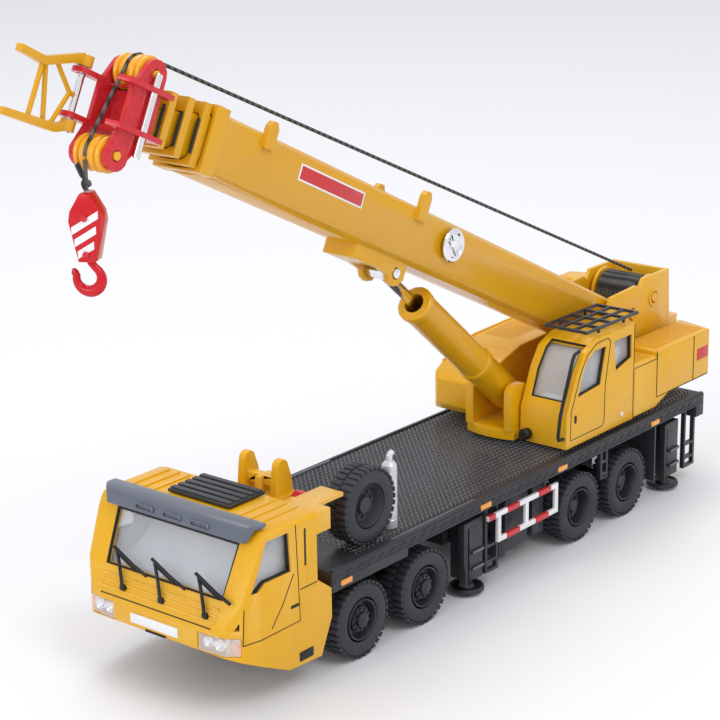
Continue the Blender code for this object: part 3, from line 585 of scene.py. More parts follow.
    @staticmethod
    def wire(points: list[Point], radius: float, place: Matrix = TRUCK, closed: bool = False,
             sides: int = 2, swell: list[float] | None = None) -> bpy.types.Object:
        """A round wire through points, as a mesh.

        Args:
            points: The points that it follows.
            radius: Its radius.
            place: The frame that the points are in.
            closed: Whether its ends meet.
            sides: The roundness of its section.
            swell: How many times the radius it is at each point.

        Returns:
            The wire.
        """
        curve = bpy.data.curves.new("wire", "CURVE")
        curve.dimensions = "3D"
        curve.bevel_depth = radius * MM
        curve.bevel_resolution = sides
        curve.use_fill_caps = True
        spline = curve.splines.new("POLY")
        spline.points.add(len(points) - 1)
        spline.use_cyclic_u = closed
        for spot, point in zip(spline.points, points):
            spot.co = (*(place @ Vector(point)), 1.0)
        for spot, times in zip(spline.points, swell or []):
            spot.radius = times
        thing = bpy.data.objects.new("wire", curve)
        bpy.context.scene.collection.objects.link(thing)
        Bench.pick(thing)
        bpy.ops.object.convert(target="MESH")
        return bpy.context.object

    @staticmethod
    def smoothed(node: str, width: float, segments: int = 2) -> bpy.types.Object:
        """A copy of a CAD node with its triangles merged and its edges rounded.

        Args:
            node: The CAD node.
            width: The rounding's width in millimetres.
            segments: Facets across the rounding.

        Returns:
            The copy.
        """
        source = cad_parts[node]
        thing = bpy.data.objects.new(node + "_copy", source.data.copy())
        bpy.context.scene.collection.objects.link(thing)
        Bench.pick(thing)
        bpy.ops.object.mode_set(mode="EDIT")
        bpy.ops.mesh.select_all(action="SELECT")
        bpy.ops.mesh.remove_doubles(threshold=0.000001)
        bpy.ops.mesh.dissolve_limited(angle_limit=math.radians(1.0))
        bpy.ops.object.mode_set(mode="OBJECT")
        Bench.soften(thing, width, segments)
        return thing

    @staticmethod
    def joined(things: list[bpy.types.Object]) -> bpy.types.Object:
        """Join several pieces into one object."""
        Bench.fresh()
        for thing in things:
            thing.select_set(True)
        bpy.context.view_layer.objects.active = things[0]
        if len(things) > 1:
            bpy.ops.object.join()
        return bpy.context.object

    @staticmethod
    def copies(thing: bpy.types.Object, moves: list[Matrix]) -> list[bpy.types.Object]:
        """Copies of a piece, each with its own mesh.

        Args:
            thing: The piece, which stays.
            moves: A world matrix for each copy.

        Returns:
            The copies.
        """
        made = []
        for move in moves:
            copy = thing.copy()
            copy.data = thing.data.copy()
            copy.data.transform(move)
            bpy.context.scene.collection.objects.link(copy)
            made.append(copy)
        return made

    @staticmethod
    def ring(thing: bpy.types.Object, centre: Vector, axis: Vector, count: int) -> bpy.types.Object:
        """A piece repeated round an axis and joined.

        Args:
            thing: The piece at its first place.
            centre: A point on the axis, in metres.
            axis: The axis.
            count: How many there are in all.

        Returns:
            The joined ring.
        """
        there, back = Matrix.Translation(centre), Matrix.Translation(-centre)
        moves = [there @ Matrix.Rotation(math.tau * i / count, 4, axis) @ back for i in range(1, count)]
        return Bench.joined([thing] + Bench.copies(thing, moves))


def arc(centre: Flat, radius: float, first: float, last: float, steps: int) -> list[Flat]:
    """Points on an arc.

    Args:
        centre: The arc's centre.
        radius: Its radius.
        first: The angle where it starts, in degrees.
        last: The angle where it ends, in degrees.
        steps: How many stretches it has.

    Returns:
        The points.
    """
    angles = [math.radians(first + (last - first) * i / steps) for i in range(steps + 1)]
    return [(centre[0] + radius * math.cos(a), centre[1] + radius * math.sin(a)) for a in angles]


def span(side: int, low: float, high: float) -> Pair:
    """A y range on one side of the truck, lowest value first."""
    return (low, high) if side > 0 else (-high, -low)


@dataclass
class TreadPlate:
    """Raised bars in a checker pattern over a flat stretch."""

    name: str
    body: str
    look: Finish
    x: Pair
    y: Pair
    z: float
    pitch: float = 1.7
    tilt: float = 0.0

    def build(self) -> None:
        """Lay rows of bars, turned one way and the other in turn."""
        place = TRUCK @ Matrix.Translation((self.x[0], 0.0, self.z)) @ Matrix.Rotation(self.tilt, 4, "Y")
        length, width = self.x[1] - self.x[0], self.y[1] - self.y[0]
        bars = []
        for lean, offset in ((1, 0.0), (-1, 0.5)):
            bars.append(self.field(lean, offset, length, width, place))
        Bench.dress(Bench.joined(bars), self.name, self.look, self.body)

    def field(self, lean: int, offset: float, length: float, width: float, place: Matrix) -> bpy.types.Object:
        """Every bar that leans one way.

        Args:
            lean: Which way the bars lean.
            offset: How far the field is moved, in pitches.
            length: The stretch's length.
            width: The stretch's width.
            place: The stretch's frame.

        Returns:
            The bars as one mesh.
        """
        Bench.fresh()
        bpy.ops.mesh.primitive_cube_add(size=1.0, scale=(0.95 * self.pitch, 0.32 * self.pitch, 0.42))
        bar = bpy.context.object
        bpy.ops.object.transform_apply(scale=True)
        for spot in bar.data.vertices:
            if spot.co.z > 0.0:
                spot.co.x *= 0.72
                spot.co.y *= 0.45
        bar.data.transform(Matrix.Rotation(math.radians(45.0 * lean), 4, "Z"))
        start = Vector((self.pitch * (0.5 + offset), self.y[0] + self.pitch * (0.5 + offset), 0.0))
        bar.data.transform(Matrix.Translation(start))
        for axis, reach in ((0, length), (1, width)):
            array = bar.modifiers.new("rows", "ARRAY")
            array.use_relative_offset = False
            array.use_constant_offset = True
            array.constant_offset_displace = [self.pitch if i == axis else 0.0 for i in range(3)]
            array.count = max(1, int(reach / self.pitch) - (1 if offset else 0))
            Bench.apply(bar)
        bar.data.transform(place)
        return bar


@dataclass
class Chassis:
    """The deck, its skirts and what is fixed under them."""

    body: str = "chassis"
    lamps: tuple[Pair, ...] = ((5.0, 9.2), (-52.3, -47.6), (-87.9, -83.5), (-136.0, -131.6))
    skirt: Pair = (24.0, 26.3)
    zigzag: float = 2.1
    top_bands: tuple[Pair, ...] = ((-54.6, -51.5), (-65.6, -60.0), (-80.4, -74.4))
    low_bands: tuple[Pair, ...] = ((-65.8, -59.6), (-79.4, -73.0))
    stack: Flat = (-19.1, 18.6)

    def build(self) -> None:
        """Build every piece of the chassis."""
        Bench.dress(Bench.smoothed("chassis_frame", 0.2), "chassis_body", BLACK, self.body, "chassis_frame")
        TreadPlate("deck_tread", self.body, DECK_BLACK, (-160.0, 1.0), (-24.6, 24.6),
                   DECK_TOP + 0.05).build()
        rims = []
        for side in (1, -1):
            rims.append(Bench.block((-161.3, DECK_FRONT), span(side, 24.9, 25.9), (26.5, 27.15)))
            self.relief(side)
        Bench.dress(Bench.joined(rims), "deck_rims", BLACK, self.body)
        strips = [Bench.block((-47.0, -12.0), span(side, 24.3, 24.8), (26.6, 27.3)) for side in (1, -1)]
        Bench.dress(Bench.joined(strips), "deck_edge_strips", GREY, self.body)
        lamps = []
        for side in (1, -1):
            for rear, front in self.lamps:
                high = 23.8 if front > 0 else 25.5
                lamps.append(Bench.block((rear, front), span(side, 25.6, HALF_WIDTH + 0.35),
                                         (high - 1.5, high), edge=0.3))
        Bench.dress(Bench.joined(lamps), "side_lamps", AMBER, self.body)
        for name in ("side_guard_left", "side_guard_right"):
            Bench.dress(Bench.smoothed(name, 0.15), name + "_bars", WHITE, self.body, name)
        self.stripes()
        self.fittings()
        LOG.info("chassis")

    def relief(self, side: int) -> None:
        """The zig-zag relief along one skirt.

        Args:
            side: 1 for the left skirt and -1 for the right.
        """
        y = side * (HALF_WIDTH + 0.02)
        low, high = self.skirt
        count = int((DECK_FRONT + 158.0) / self.zigzag)
        points = [(DECK_FRONT - 0.5 - i * self.zigzag, y, high - 0.5 if i % 2 else low + 0.4)
                  for i in range(count)]
        lines = [Bench.wire(points, 0.2, sides=1)]
        for z in (high, low - 0.1):
            lines.append(Bench.wire([(DECK_FRONT, y, z), (DECK_REAR, y, z)], 0.2, sides=1))
        name = "left" if side > 0 else "right"
        Bench.dress(Bench.joined(lines), "skirt_relief_" + name, BLACK, self.body)

    def stripes(self) -> None:
        """Red bands painted round the guards' rails."""
        bands = []
        for side in (1, -1):
            y = span(side, 24.95, HALF_WIDTH + 0.06)
            for reach in self.top_bands:
                bands.append(Bench.block(reach, y, (19.64, 21.16), edge=0.1))
            for reach in self.low_bands:
                bands.append(Bench.block(reach, y, (12.44, 13.96), edge=0.1))
        Bench.dress(Bench.joined(bands), "guard_bands", LABEL_RED, self.body)

    def fittings(self) -> None:
        """The exhaust, air tank and boom rest."""
        Bench.dress(Bench.smoothed("boom_rest", 0.5, 3), "boom_rest_casting", YELLOW, self.body, "boom_rest")
        tank = Bench.spun([(8.6, 0), (8.6, 1.2), (9.1, 1.7), (14.1, 1.7), (14.6, 1.2), (14.6, 0)],
                          (5.5, 0, 40.4))
        Bench.dress(tank, "air_tank_red", RED, self.body, "air_tank")
        x, y = self.stack
        can = [(27.0, 0), (27.0, 1.9), (29.2, 1.95), (29.4, 1.8), (29.6, 1.95), (41.8, 1.95),
               (42.0, 1.8), (42.2, 1.95), (43.6, 1.9), (44.3, 1.4), (44.6, 1.0), (44.6, 0)]
        pipe = Bench.wire([(x, y, 44.0), (x, y, 45.8), (x - 0.4, y, 46.3), (x - 1.1, y, 46.5)], 0.8, sides=5)
        muffler = Bench.joined([Bench.spun(can, (x, y, 0), Axis.Z), pipe])
        Bench.dress(muffler, "exhaust_muffler", SILVER, self.body, "exhaust_stack")


@dataclass
class CarrierCab:
    """The driver's cab at the front."""

    body: str = "chassis"
    corner_x: float = 38.0
    corner_slope: float = 0.22
    wiper_places: tuple[float, ...] = (-11.3, 1.3, 15.5)
    roof_rib_places: tuple[float, ...] = (-21.0, -17.5, -14.0, 14.0, 17.5, 21.0)
    side_window: list[Flat] = field(default_factory=lambda: [
        (35.4, 42.2), (27.6, 42.1), (27.0, 32.1), (36.0, 32.2), (38.6, 30.6), (40.3, 30.8)])

    def build(self) -> None:
        """Build every piece of the cab."""
        Bench.dress(Bench.smoothed("cab_shell", 0.55, 3), "cab_body", YELLOW, self.body, "cab_shell")
        Bench.dress(Bench.smoothed("cab_glazing", 0.1), "cab_windows", CLEAR, self.body, "cab_glazing")
        Bench.dress(Bench.smoothed("sun_visor", 0.3, 3), "sun_visor_shade", GREY, self.body, "sun_visor")
        self.wipers()
        self.gaskets()
        self.doors()
        self.front()
        self.roof()
        self.interior()
        self.lamps()
        LOG.info("carrier cab")

    def wipers(self) -> None:
        """Three arms with their blades."""
        arms = []
        for y in self.wiper_places:
            arms.append(Bench.wire([(45.9, y + 0.3, 24.6), (45.7, y, 25.6), (44.2, y - 2.0, 29.4),
                                    (43.0, y - 3.9, 32.4)], 0.42))
            arms.append(Bench.wire([(43.0, y - 4.8, 33.2), (43.9, y + 2.4, 30.4),
                                    (44.3, y + 7.0, 29.0)], 0.42))
            arms.append(Bench.wire([(43.2, y - 3.0, 31.6), (44.1, y + 3.4, 29.3)], 0.3))
            arms.append(Bench.block((45.2, 46.2), (y - 0.5, y + 1.1), (24.2, 25.6), edge=0.3))
        Bench.dress(Bench.joined(arms), "wipers", DARK, self.body, "wiper_set")

    def gaskets(self) -> None:
        """Black seals round the windscreen and the side windows."""
        seals = []
        for side in (1, -1):
            window = [(x, side * 25.0, z) for x, z in self.side_window]
            seals.append(Bench.wire(window, 0.55, closed=True))
        screen = [(42.7, -18.9, 28.4), (42.7, 18.9, 28.4), (37.3, 19.6, 40.8), (37.3, -19.6, 40.8)]
        seals.append(Bench.wire(screen, 0.5, closed=True))
        Bench.dress(Bench.joined(seals), "window_seals", DARK, self.body)

    def on_side(self, side: int, line: list[Flat]) -> list[Point]:
        """Points on the cab's side, which turns inward at the front.

        Args:
            side: 1 for the left and -1 for the right.
            line: (x, z) points.

        Returns:
            The points with their y.
        """
        return [(x, side * (HALF_WIDTH - self.corner_slope * max(0.0, x - self.corner_x)), z)
                for x, z in line]

    @staticmethod
    def front_at(z: float) -> float:
        """x of the ribs on the sloping front at a height."""
        return 46.35 - 0.518 * (z - 22.4)

    def doors(self) -> None:
        """Door seams, handles, vents and steps on both sides."""
        seams, darks = [], []
        lines = (
            [(43.0, 18.7), (38.0, 18.7), (24.2, 18.8), (25.2, 43.2)],
            [(43.0, 18.7), (42.4, 27.6)],
            [(26.2, 31.3), (30.2, 25.0), (34.2, 20.2)],
            [(24.0, 26.6), (17.9, 26.6)],
        )
        for side in (1, -1):
            seams += [Bench.wire(self.on_side(side, line), 0.13) for line in lines]
            darks.append(Bench.block((24.7, 27.4), span(side, 25.8, 26.25), (22.8, 23.5)))
            darks.append(Bench.block((21.6, 22.3), span(side, 25.8, 26.1), (32.0, 41.4)))
            darks.append(Bench.block((19.7, 24.8), span(side, 25.6, 26.2), (8.2, 10.7), edge=0.3))
        Bench.dress(Bench.joined(seams), "door_seams", DARK, self.body)
        Bench.dress(Bench.joined(darks), "door_handles", DARK, self.body)

    def front(self) -> None:
        """Panel ribs, plate, grille slots and lines on the front."""
        ribs = [Bench.wire([(self.front_at(z), -19.0, z), (self.front_at(z), 19.0, z)], 0.32)
                for z in (23.7, 25.1, 26.5)]
        Bench.dress(Bench.joined(ribs), "front_ribs", YELLOW, self.body)
        plate = Bench.block((46.4, 46.95), (-7.7, 7.7), (17.3, 19.7), edge=0.15)
        Bench.dress(plate, "blank_plate", WHITE, self.body)
        slots = [Bench.wire([(46.3, -18.0, 22.3), (46.3, 18.0, 22.3)], 0.16),
                 Bench.block((45.6, 46.55), (-3.3, 3.3), (15.9, 16.5), edge=0.1)]
        Bench.dress(Bench.joined(slots), "front_slots", DARK, self.body)

    def roof(self) -> None:
        """The hatch with its slats, ribs pressed in the roof and notches in the visor."""
        Bench.dress(Bench.smoothed("roof_hatch", 0.25, 2), "roof_hatch_slats", BLACK, self.body, "roof_hatch")
        ribs = [Bench.block((18.6, 33.0), (y - 0.5, y + 0.5), (44.4, 44.95), edge=0.25)
                for y in self.roof_rib_places]
        Bench.dress(Bench.joined(ribs), "roof_ribs", YELLOW, self.body)
        notches = []
        for y in (-9.0, 0.0, 9.0):
            loop = [(39.35, y - 2.4, 44.2), (39.55, y - 2.9, 43.6), (39.6, y - 2.4, 43.0),
                    (39.6, y + 2.4, 43.0), (39.55, y + 2.9, 43.6), (39.35, y + 2.4, 44.2)]
            notches.append(Bench.wire(loop, 0.25, closed=True))
        Bench.dress(Bench.joined(notches), "visor_notches", GREY, self.body)

    def interior(self) -> None:
        """Pale floor, seats and back wall seen through the windows."""
        seats = [(22.0, 24.6), (39.6, 24.6), (38.4, 27.6), (30.0, 29.0), (23.4, 34.0)]
        parts = [Bench.block((20.0, 40.8), (-22.8, 22.8), (24.0, 25.0)),
                 Bench.plate(seats, -21.5, 21.5, edge=0.8),
                 Bench.block((20.2, 21.0), (-22.6, 22.6), (24.6, 42.0))]
        Bench.dress(Bench.joined(parts), "cab_interior", CABIN, self.body)

    def lamps(self) -> None:
        """Headlamps: a lens over two bright bowls with an amber corner."""
        plan = [(44.8, 13.9), (46.3, 13.9), (46.3, 16.2), (45.6, 21.9), (43.6, 24.4), (43.1, 24.4),
                (44.4, 21.5)]
        bowl_profile = [(0.4, 0.0), (0.4, 0.4), (1.3, 1.4), (1.0, 1.7), (0.0, 1.9), (0.0, 0.0)]
        for name, side in SIDES:
            shell = [(x, side * y) for x, y in plan]
            lens = Bench.plate(shell, 16.1, 20.5, Axis.Z, edge=0.3)
            Bench.dress(lens, "lamp_lens_" + name, LENS, self.body, "headlamp_" + name)
            back = Bench.block((43.1, 44.2), span(side, 14.0, 21.6), (16.2, 20.4), edge=0.2)
            bowls = [Bench.spun(bowl_profile, (44.2, side * y, 18.3), Axis.X, steps=24) for y in (16.2, 19.6)]
            Bench.dress(Bench.joined([back] + bowls), "lamp_bowl_" + name, CHROME, self.body)
            corner = Bench.block((43.1, 43.8), span(side, 21.8, 23.9), (16.6, 19.0), edge=0.2)
            Bench.dress(corner, "lamp_corner_" + name, AMBER, self.body)


@dataclass
class Wheels:
    """The eight road wheels and the spare."""

    lugs: int = 34
    spare_place: Flat = (-6.9, 37.0)
    axis: Vector = field(default_factory=lambda: Vector((0, 1, 0)))

    def build(self) -> None:
        """Build the wheels of every axle, and the spare."""
        for number, x in enumerate(AXLES, 1):
            body = f"axle_{number}"
            hubs = []
            for name, side in SIDES:
                tyre = self.tyre(x, side * 18.0, side * 25.4, TYRE_RADIUS, TYRE_RADIUS)
                Bench.dress(tyre, f"tyre_{number}_{name}_tread", RUBBER, body, f"tyre_{number}_{name}")
                hubs.append(self.rim(x, side, number <= 2))
            hubs.append(Bench.spun([(-19.0, 0), (-19.0, 1.5), (19.0, 1.5), (19.0, 0)],
                                   (x, 0, TYRE_RADIUS), steps=20))
            Bench.dress(Bench.joined(hubs), f"axle_{number}_rims", BLACK, body, f"wheelset_{number}")
        self.spare()
        LOG.info("wheels")

    def tyre(self, x: float, inner: float, outer: float, radius: float, z: float) -> bpy.types.Object:
        """A tyre with a rounded shoulder and two rows of lugs on its tread.

        Args:
            x: The wheel's centre.
            inner: y of the inner wall.
            outer: y of the outer wall.
            radius: Its outside radius.
            z: The height of its centre.

        Returns:
            The tyre.
        """
        way = 1.0 if outer > inner else -1.0
        width = abs(outer - inner)
        bead = 0.58 * radius
        wall = [(0.5, bead), (0.1, 0.64 * radius), (0.0, 0.78 * radius), (0.35, 0.9 * radius),
                (1.0, 0.955 * radius)]
        profile = [(inner + way * d, r) for d, r in wall]
        profile += [(inner + way * (width - d), r) for d, r in reversed(wall)]
        shell = Bench.spun(profile, (x, 0.0, z), steps=72)
        centre = truck_point(x, 0.0, z)
        parts = [shell]
        for near, far, turn in ((0.04, 0.46, 0.0), (0.54, 0.96, 0.5)):
            ends = (inner + way * width * near, inner + way * width * far)
            lug = Bench.block((x - 0.62, x + 0.62), (min(ends), max(ends)), (z + 0.93 * radius, z + radius),
                              edge=0.12)
            swing = Matrix.Rotation(math.tau * turn / self.lugs, 4, "Y")
            lug.data.transform(Matrix.Translation(centre) @ swing @ Matrix.Translation(-centre))
            parts.append(Bench.ring(lug, centre, self.axis, self.lugs))
        return Bench.joined(parts)

    def rim(self, x: float, side: int, domed: bool) -> bpy.types.Object:
        """A rim with its hub and wheel nuts.

        Args:
            x: The wheel's centre.
            side: 1 for the left and -1 for the right.
            domed: Whether the hub stands out of the wheel.

        Returns:
            The rim.
        """
        lip = [(18.8, 0.0), (18.8, 5.4), (24.6, 5.4), (25.1, 5.25), (25.1, 4.95), (24.3, 4.6)]
        if domed:
            dish = [(23.2, 4.3), (23.4, 3.4), (24.3, 3.2), (24.4, 2.0), (25.3, 1.9), (25.8, 1.2), (25.9, 0.0)]
            face, ring, nut = 24.3, 2.65, 0.36
        else:
            dish = [(22.0, 4.2), (21.4, 3.6), (21.4, 2.4), (22.6, 2.2), (23.4, 1.7), (23.6, 0.0)]
            face, ring, nut = 21.4, 3.0, 0.32
        body = Bench.spun([(side * d, r) for d, r in lip + dish], (x, 0.0, TYRE_RADIUS), steps=48)
        tip = face + 0.55
        bolt = Bench.spun([(side * (face - 0.3), 0.0), (side * (face - 0.3), nut), (side * tip, nut * 0.9),
                           (side * tip, 0.0)], (x, 0.0, TYRE_RADIUS + ring), steps=6)
        bolts = Bench.ring(bolt, truck_point(x, 0.0, TYRE_RADIUS), self.axis, 10)
        return Bench.joined([body, bolts])

    def spare(self) -> None:
        """The spare wheel behind the cab."""
        x, z = self.spare_place
        tyre = self.tyre(x, 15.5, 22.7, 9.9, z)
        bracket = Bench.block((-9.7, -4.1), (16.6, 21.0), (27.0, 30.0), edge=0.3)
        lip = [(16.0, 0.0), (16.0, 5.6), (21.8, 5.6), (22.3, 5.3), (21.6, 4.9), (19.8, 4.2), (19.5, 2.4),
               (20.8, 2.1), (21.0, 0.0)]
        rim = Bench.spun(lip, (x, 0.0, z), steps=48)
        bolt = Bench.spun([(19.2, 0.0), (19.2, 0.34), (20.1, 0.3), (20.1, 0.0)], (x, 0.0, z + 3.3), steps=6)
        bolts = Bench.ring(bolt, truck_point(x, 0.0, z), self.axis, 10)
        wheel = Bench.joined([tyre, bracket, rim, bolts])
        Bench.dress(wheel, "spare_wheel_tread", RUBBER, "chassis", "spare_wheel")


@dataclass
class Outriggers:
    """The four sliding beams with their feet."""

    jack_y: float = 21.2

    def build(self) -> None:
        """Dress every beam and foot."""
        profile = [(0.7, 0), (0.7, 4.4), (0.95, 4.75), (1.5, 4.8), (2.0, 4.55), (2.1, 4.3), (1.6, 3.6),
                   (1.6, 2.2), (2.2, 1.9), (2.6, 1.5), (16.5, 1.5), (16.5, 0)]
        for place, x in OUTRIGGERS.items():
            for name, side in SIDES:
                beam = f"outrigger_beam_{place}_{name}"
                Bench.dress(Bench.smoothed(beam, 0.2), beam + "_casting", BLACK, f"beam_{place}_{name}", beam)
                steps = [Bench.block((x - 2.4, x + 2.4), span(side, 24.7, 25.3), (z, z + 0.7), edge=0.2)
                         for z in (12.3, 7.7)]
                treads = f"outrigger_treads_{place}_{name}"
                Bench.dress(Bench.joined(steps), treads, GREY, f"beam_{place}_{name}")
                foot = f"outrigger_foot_{place}_{name}"
                pad = Bench.spun(profile, (x, side * self.jack_y, 0), Axis.Z)
                Bench.dress(pad, foot + "_pad", BLACK, f"foot_{place}_{name}", foot)
        LOG.info("outriggers")


@dataclass
class Superstructure:
    """The turntable with the operator's cab and the hoods."""

    body: str = "superstructure"
    door: list[Flat] = field(default_factory=lambda: [
        (-110.0, 53.4), (-107.4, 42.8), (-95.9, 41.9), (-98.2, 48.0), (-100.6, 51.6), (-104.3, 53.4)])
    rear: list[Flat] = field(default_factory=lambda: [
        (-123.1, 53.8), (-123.3, 46.9), (-115.1, 44.8), (-114.2, 53.8)])
    rail: list[Flat] = field(default_factory=lambda: [
        (-97.4, 54.8), (-95.2, 54.4), (-94.2, 53.2), (-92.2, 48.0), (-90.0, 42.4), (-88.4, 38.0),
        (-87.5, 32.4), (-87.9, 31.5), (-90.0, 31.3)])
    side_y: float = 24.0

    def build(self) -> None:
        """Build every piece of the superstructure."""
        for node, name, look, width in (
            ("slew_platform", "slewing_casting", YELLOW, 0.35),
            ("operator_cab", "operator_cab_shell", YELLOW, 0.45),
            ("operator_glass", "operator_windows", CLEAR, 0.1),
            ("roof_guard", "roof_guard_bars", BLACK, 0.28),
            ("engine_hood_left", "hood_left_cover", YELLOW, 0.5),
            ("engine_hood_right", "hood_right_cover", YELLOW, 0.5),
        ):
            Bench.dress(Bench.smoothed(node, width, 3), name, look, self.body, node)
        rail = [(x, 23.2, z) for x, z in self.rail]
        Bench.dress(Bench.wire(rail, 0.5, sides=4), "grab_bar", DARK, self.body, "grab_rail")
        self.cab_details()
        self.hood_details()
        LOG.info("superstructure")

    def cab_details(self) -> None:
        """Seals, seams, handle, horn, lock and seat of the operator's cab."""
        seals = [Bench.wire([(x, 23.1, z) for x, z in outline], 0.5, closed=True)
                 for outline in (self.door, self.rear)]
        screen = [(-92.6, 41.0), (-95.4, 48.2), (-99.2, 53.4), (-102.2, 54.9)]
        edge = [(x, 11.0, z) for x, z in screen] + [(x, 22.4, z) for x, z in reversed(screen)]
        seals.append(Bench.wire(edge, 0.42, closed=True))
        Bench.dress(Bench.joined(seals), "operator_seals", DARK, self.body)
        y = self.side_y
        door = [(-92.4, 30.3), (-92.6, 38.4), (-94.4, 42.6), (-97.0, 48.6), (-100.2, 53.0), (-104.9, 55.4),
                (-110.6, 55.6), (-112.0, 54.4), (-109.6, 42.0), (-109.4, 31.6), (-108.4, 30.3)]
        seams = [Bench.wire([(x, y, z) for x, z in door], 0.14, closed=True),
                 Bench.wire([(-124.6, y, 28.6), (-124.6, y, 56.4)], 0.12)]
        Bench.dress(Bench.joined(seams), "operator_seams", DARK, self.body)
        horn = [(0.0, 0), (0.0, 1.5), (2.0, 1.7), (2.6, 1.3), (2.6, 0)]
        darks = [Bench.block((-95.2, -94.3), (23.8, 24.25), (34.8, 37.0)),
                 Bench.spun(horn, (-90.3, 11.2, 30.6), Axis.X)]
        Bench.dress(Bench.joined(darks), "operator_handle", DARK, self.body)
        dot = Bench.spun([(23.8, 0), (23.8, 0.7), (24.2, 0.6), (24.3, 0)], (-118.6, 0, 31.2), steps=20)
        Bench.dress(dot, "operator_lock", CHROME, self.body)
        inside = [Bench.block((-121.0, -112.0), (12.0, 20.5), (29.6, 38.0), edge=0.8),
                  Bench.block((-122.5, -119.6), (12.0, 20.5), (36.0, 50.0), edge=0.8),
                  Bench.block((-98.0, -94.6), (12.0, 20.5), (36.0, 41.0), edge=0.6)]
        Bench.dress(Bench.joined(inside), "operator_seat", CABIN, self.body)

    def hood_details(self) -> None:
        """Seams, tread plate, rims and a blank label on the hoods."""
        y = self.side_y
        seams = [Bench.wire([(x, y, 31.4), (x, y, 44.8)], 0.16) for x in (-137.4, -158.2)]
        seams.append(Bench.wire([(-137.6, y, 31.2), (-166.8, y, 31.2)], 0.12))
        seams.append(Bench.wire([(-125.6, y, 43.0), (-137.2, y, 43.0)], 0.12))
        seams += [Bench.wire([(x, -HALF_WIDTH, 31.4), (x, -HALF_WIDTH, 42.0)], 0.16)
                  for x in (-118.0, -138.0, -158.0)]
        Bench.dress(Bench.joined(seams), "hood_seams", DARK, self.body)
        label = Bench.block((-166.5, -160.2), (23.9, 24.08), (36.7, 40.3), edge=0.05)
        Bench.dress(label, "hood_label", LABEL_RED, self.body)
        front_slope, top_slope = math.atan2(4.2, 12.0), math.atan2(1.3, 42.5)
        for name, x, y, z, slope in (
            ("left", (-167.0, -138.4), (12.0, 23.0), 45.0, 0.0),
            ("step", (-137.0, -125.8), (12.0, 23.0), 43.4, 0.0),
            ("slope", (-112.5, -101.5), (-24.6, -9.4), 46.1, front_slope),
            ("right", (-156.0, -116.0), (-24.6, -12.2), 48.1, top_slope),
        ):
            TreadPlate("hood_tread_" + name, self.body, YELLOW, x, y, z, 1.15, slope).build()
        rims = [Bench.wire([(-138.0, 23.6, 45.0), (-166.6, 23.6, 45.0)], 0.3),
                Bench.wire([(-158.0, -25.6, 48.2), (-115.0, -25.6, 46.9), (-100.0, -25.6, 42.6)], 0.4)]
        Bench.dress(Bench.joined(rims), "hood_rims", YELLOW, self.body)


@dataclass
class Winch:
    """The drum and the rope wound on it."""

    body: str = "winch"
    turns: int = 14
    steps: int = 24
    coil_start: float = -6.3

    def build(self) -> None:
        """Turn the drum and wind the rope."""
        axle = (WINCH[0], 0, WINCH[1])
        half = [(7.2, 4.0), (7.2, 6.5), (7.4, 6.7), (8.0, 6.7), (8.2, 6.5), (8.2, 1.5), (10.4, 1.5),
                (10.6, 1.3), (10.6, 0.0)]
        profile = [(-d, r) for d, r in reversed(half)] + half
        Bench.dress(Bench.spun(profile, axle), "winch_spool", YELLOW, self.body, "winch_drum")
        pitch = 2.0 * ROPE_RADIUS
        points: list[Point] = []
        for i in range(self.turns * self.steps + 1):
            angle = math.tau * i / self.steps
            x, z = arc(WINCH, COIL_RADIUS - ROPE_RADIUS, math.degrees(angle), 0.0, 1)[0]
            points.append((x, self.coil_start + pitch * i / self.steps, z))
        core = Bench.spun([(-6.8, 4.4), (-6.8, 5.5), (6.8, 5.5), (6.8, 4.4)], axle, steps=32)
        wound = Bench.joined([Bench.wire(points, ROPE_RADIUS), core])
        Bench.dress(wound, "wound_rope", ROPE, self.body, "rope_coil")
        LOG.info("winch")


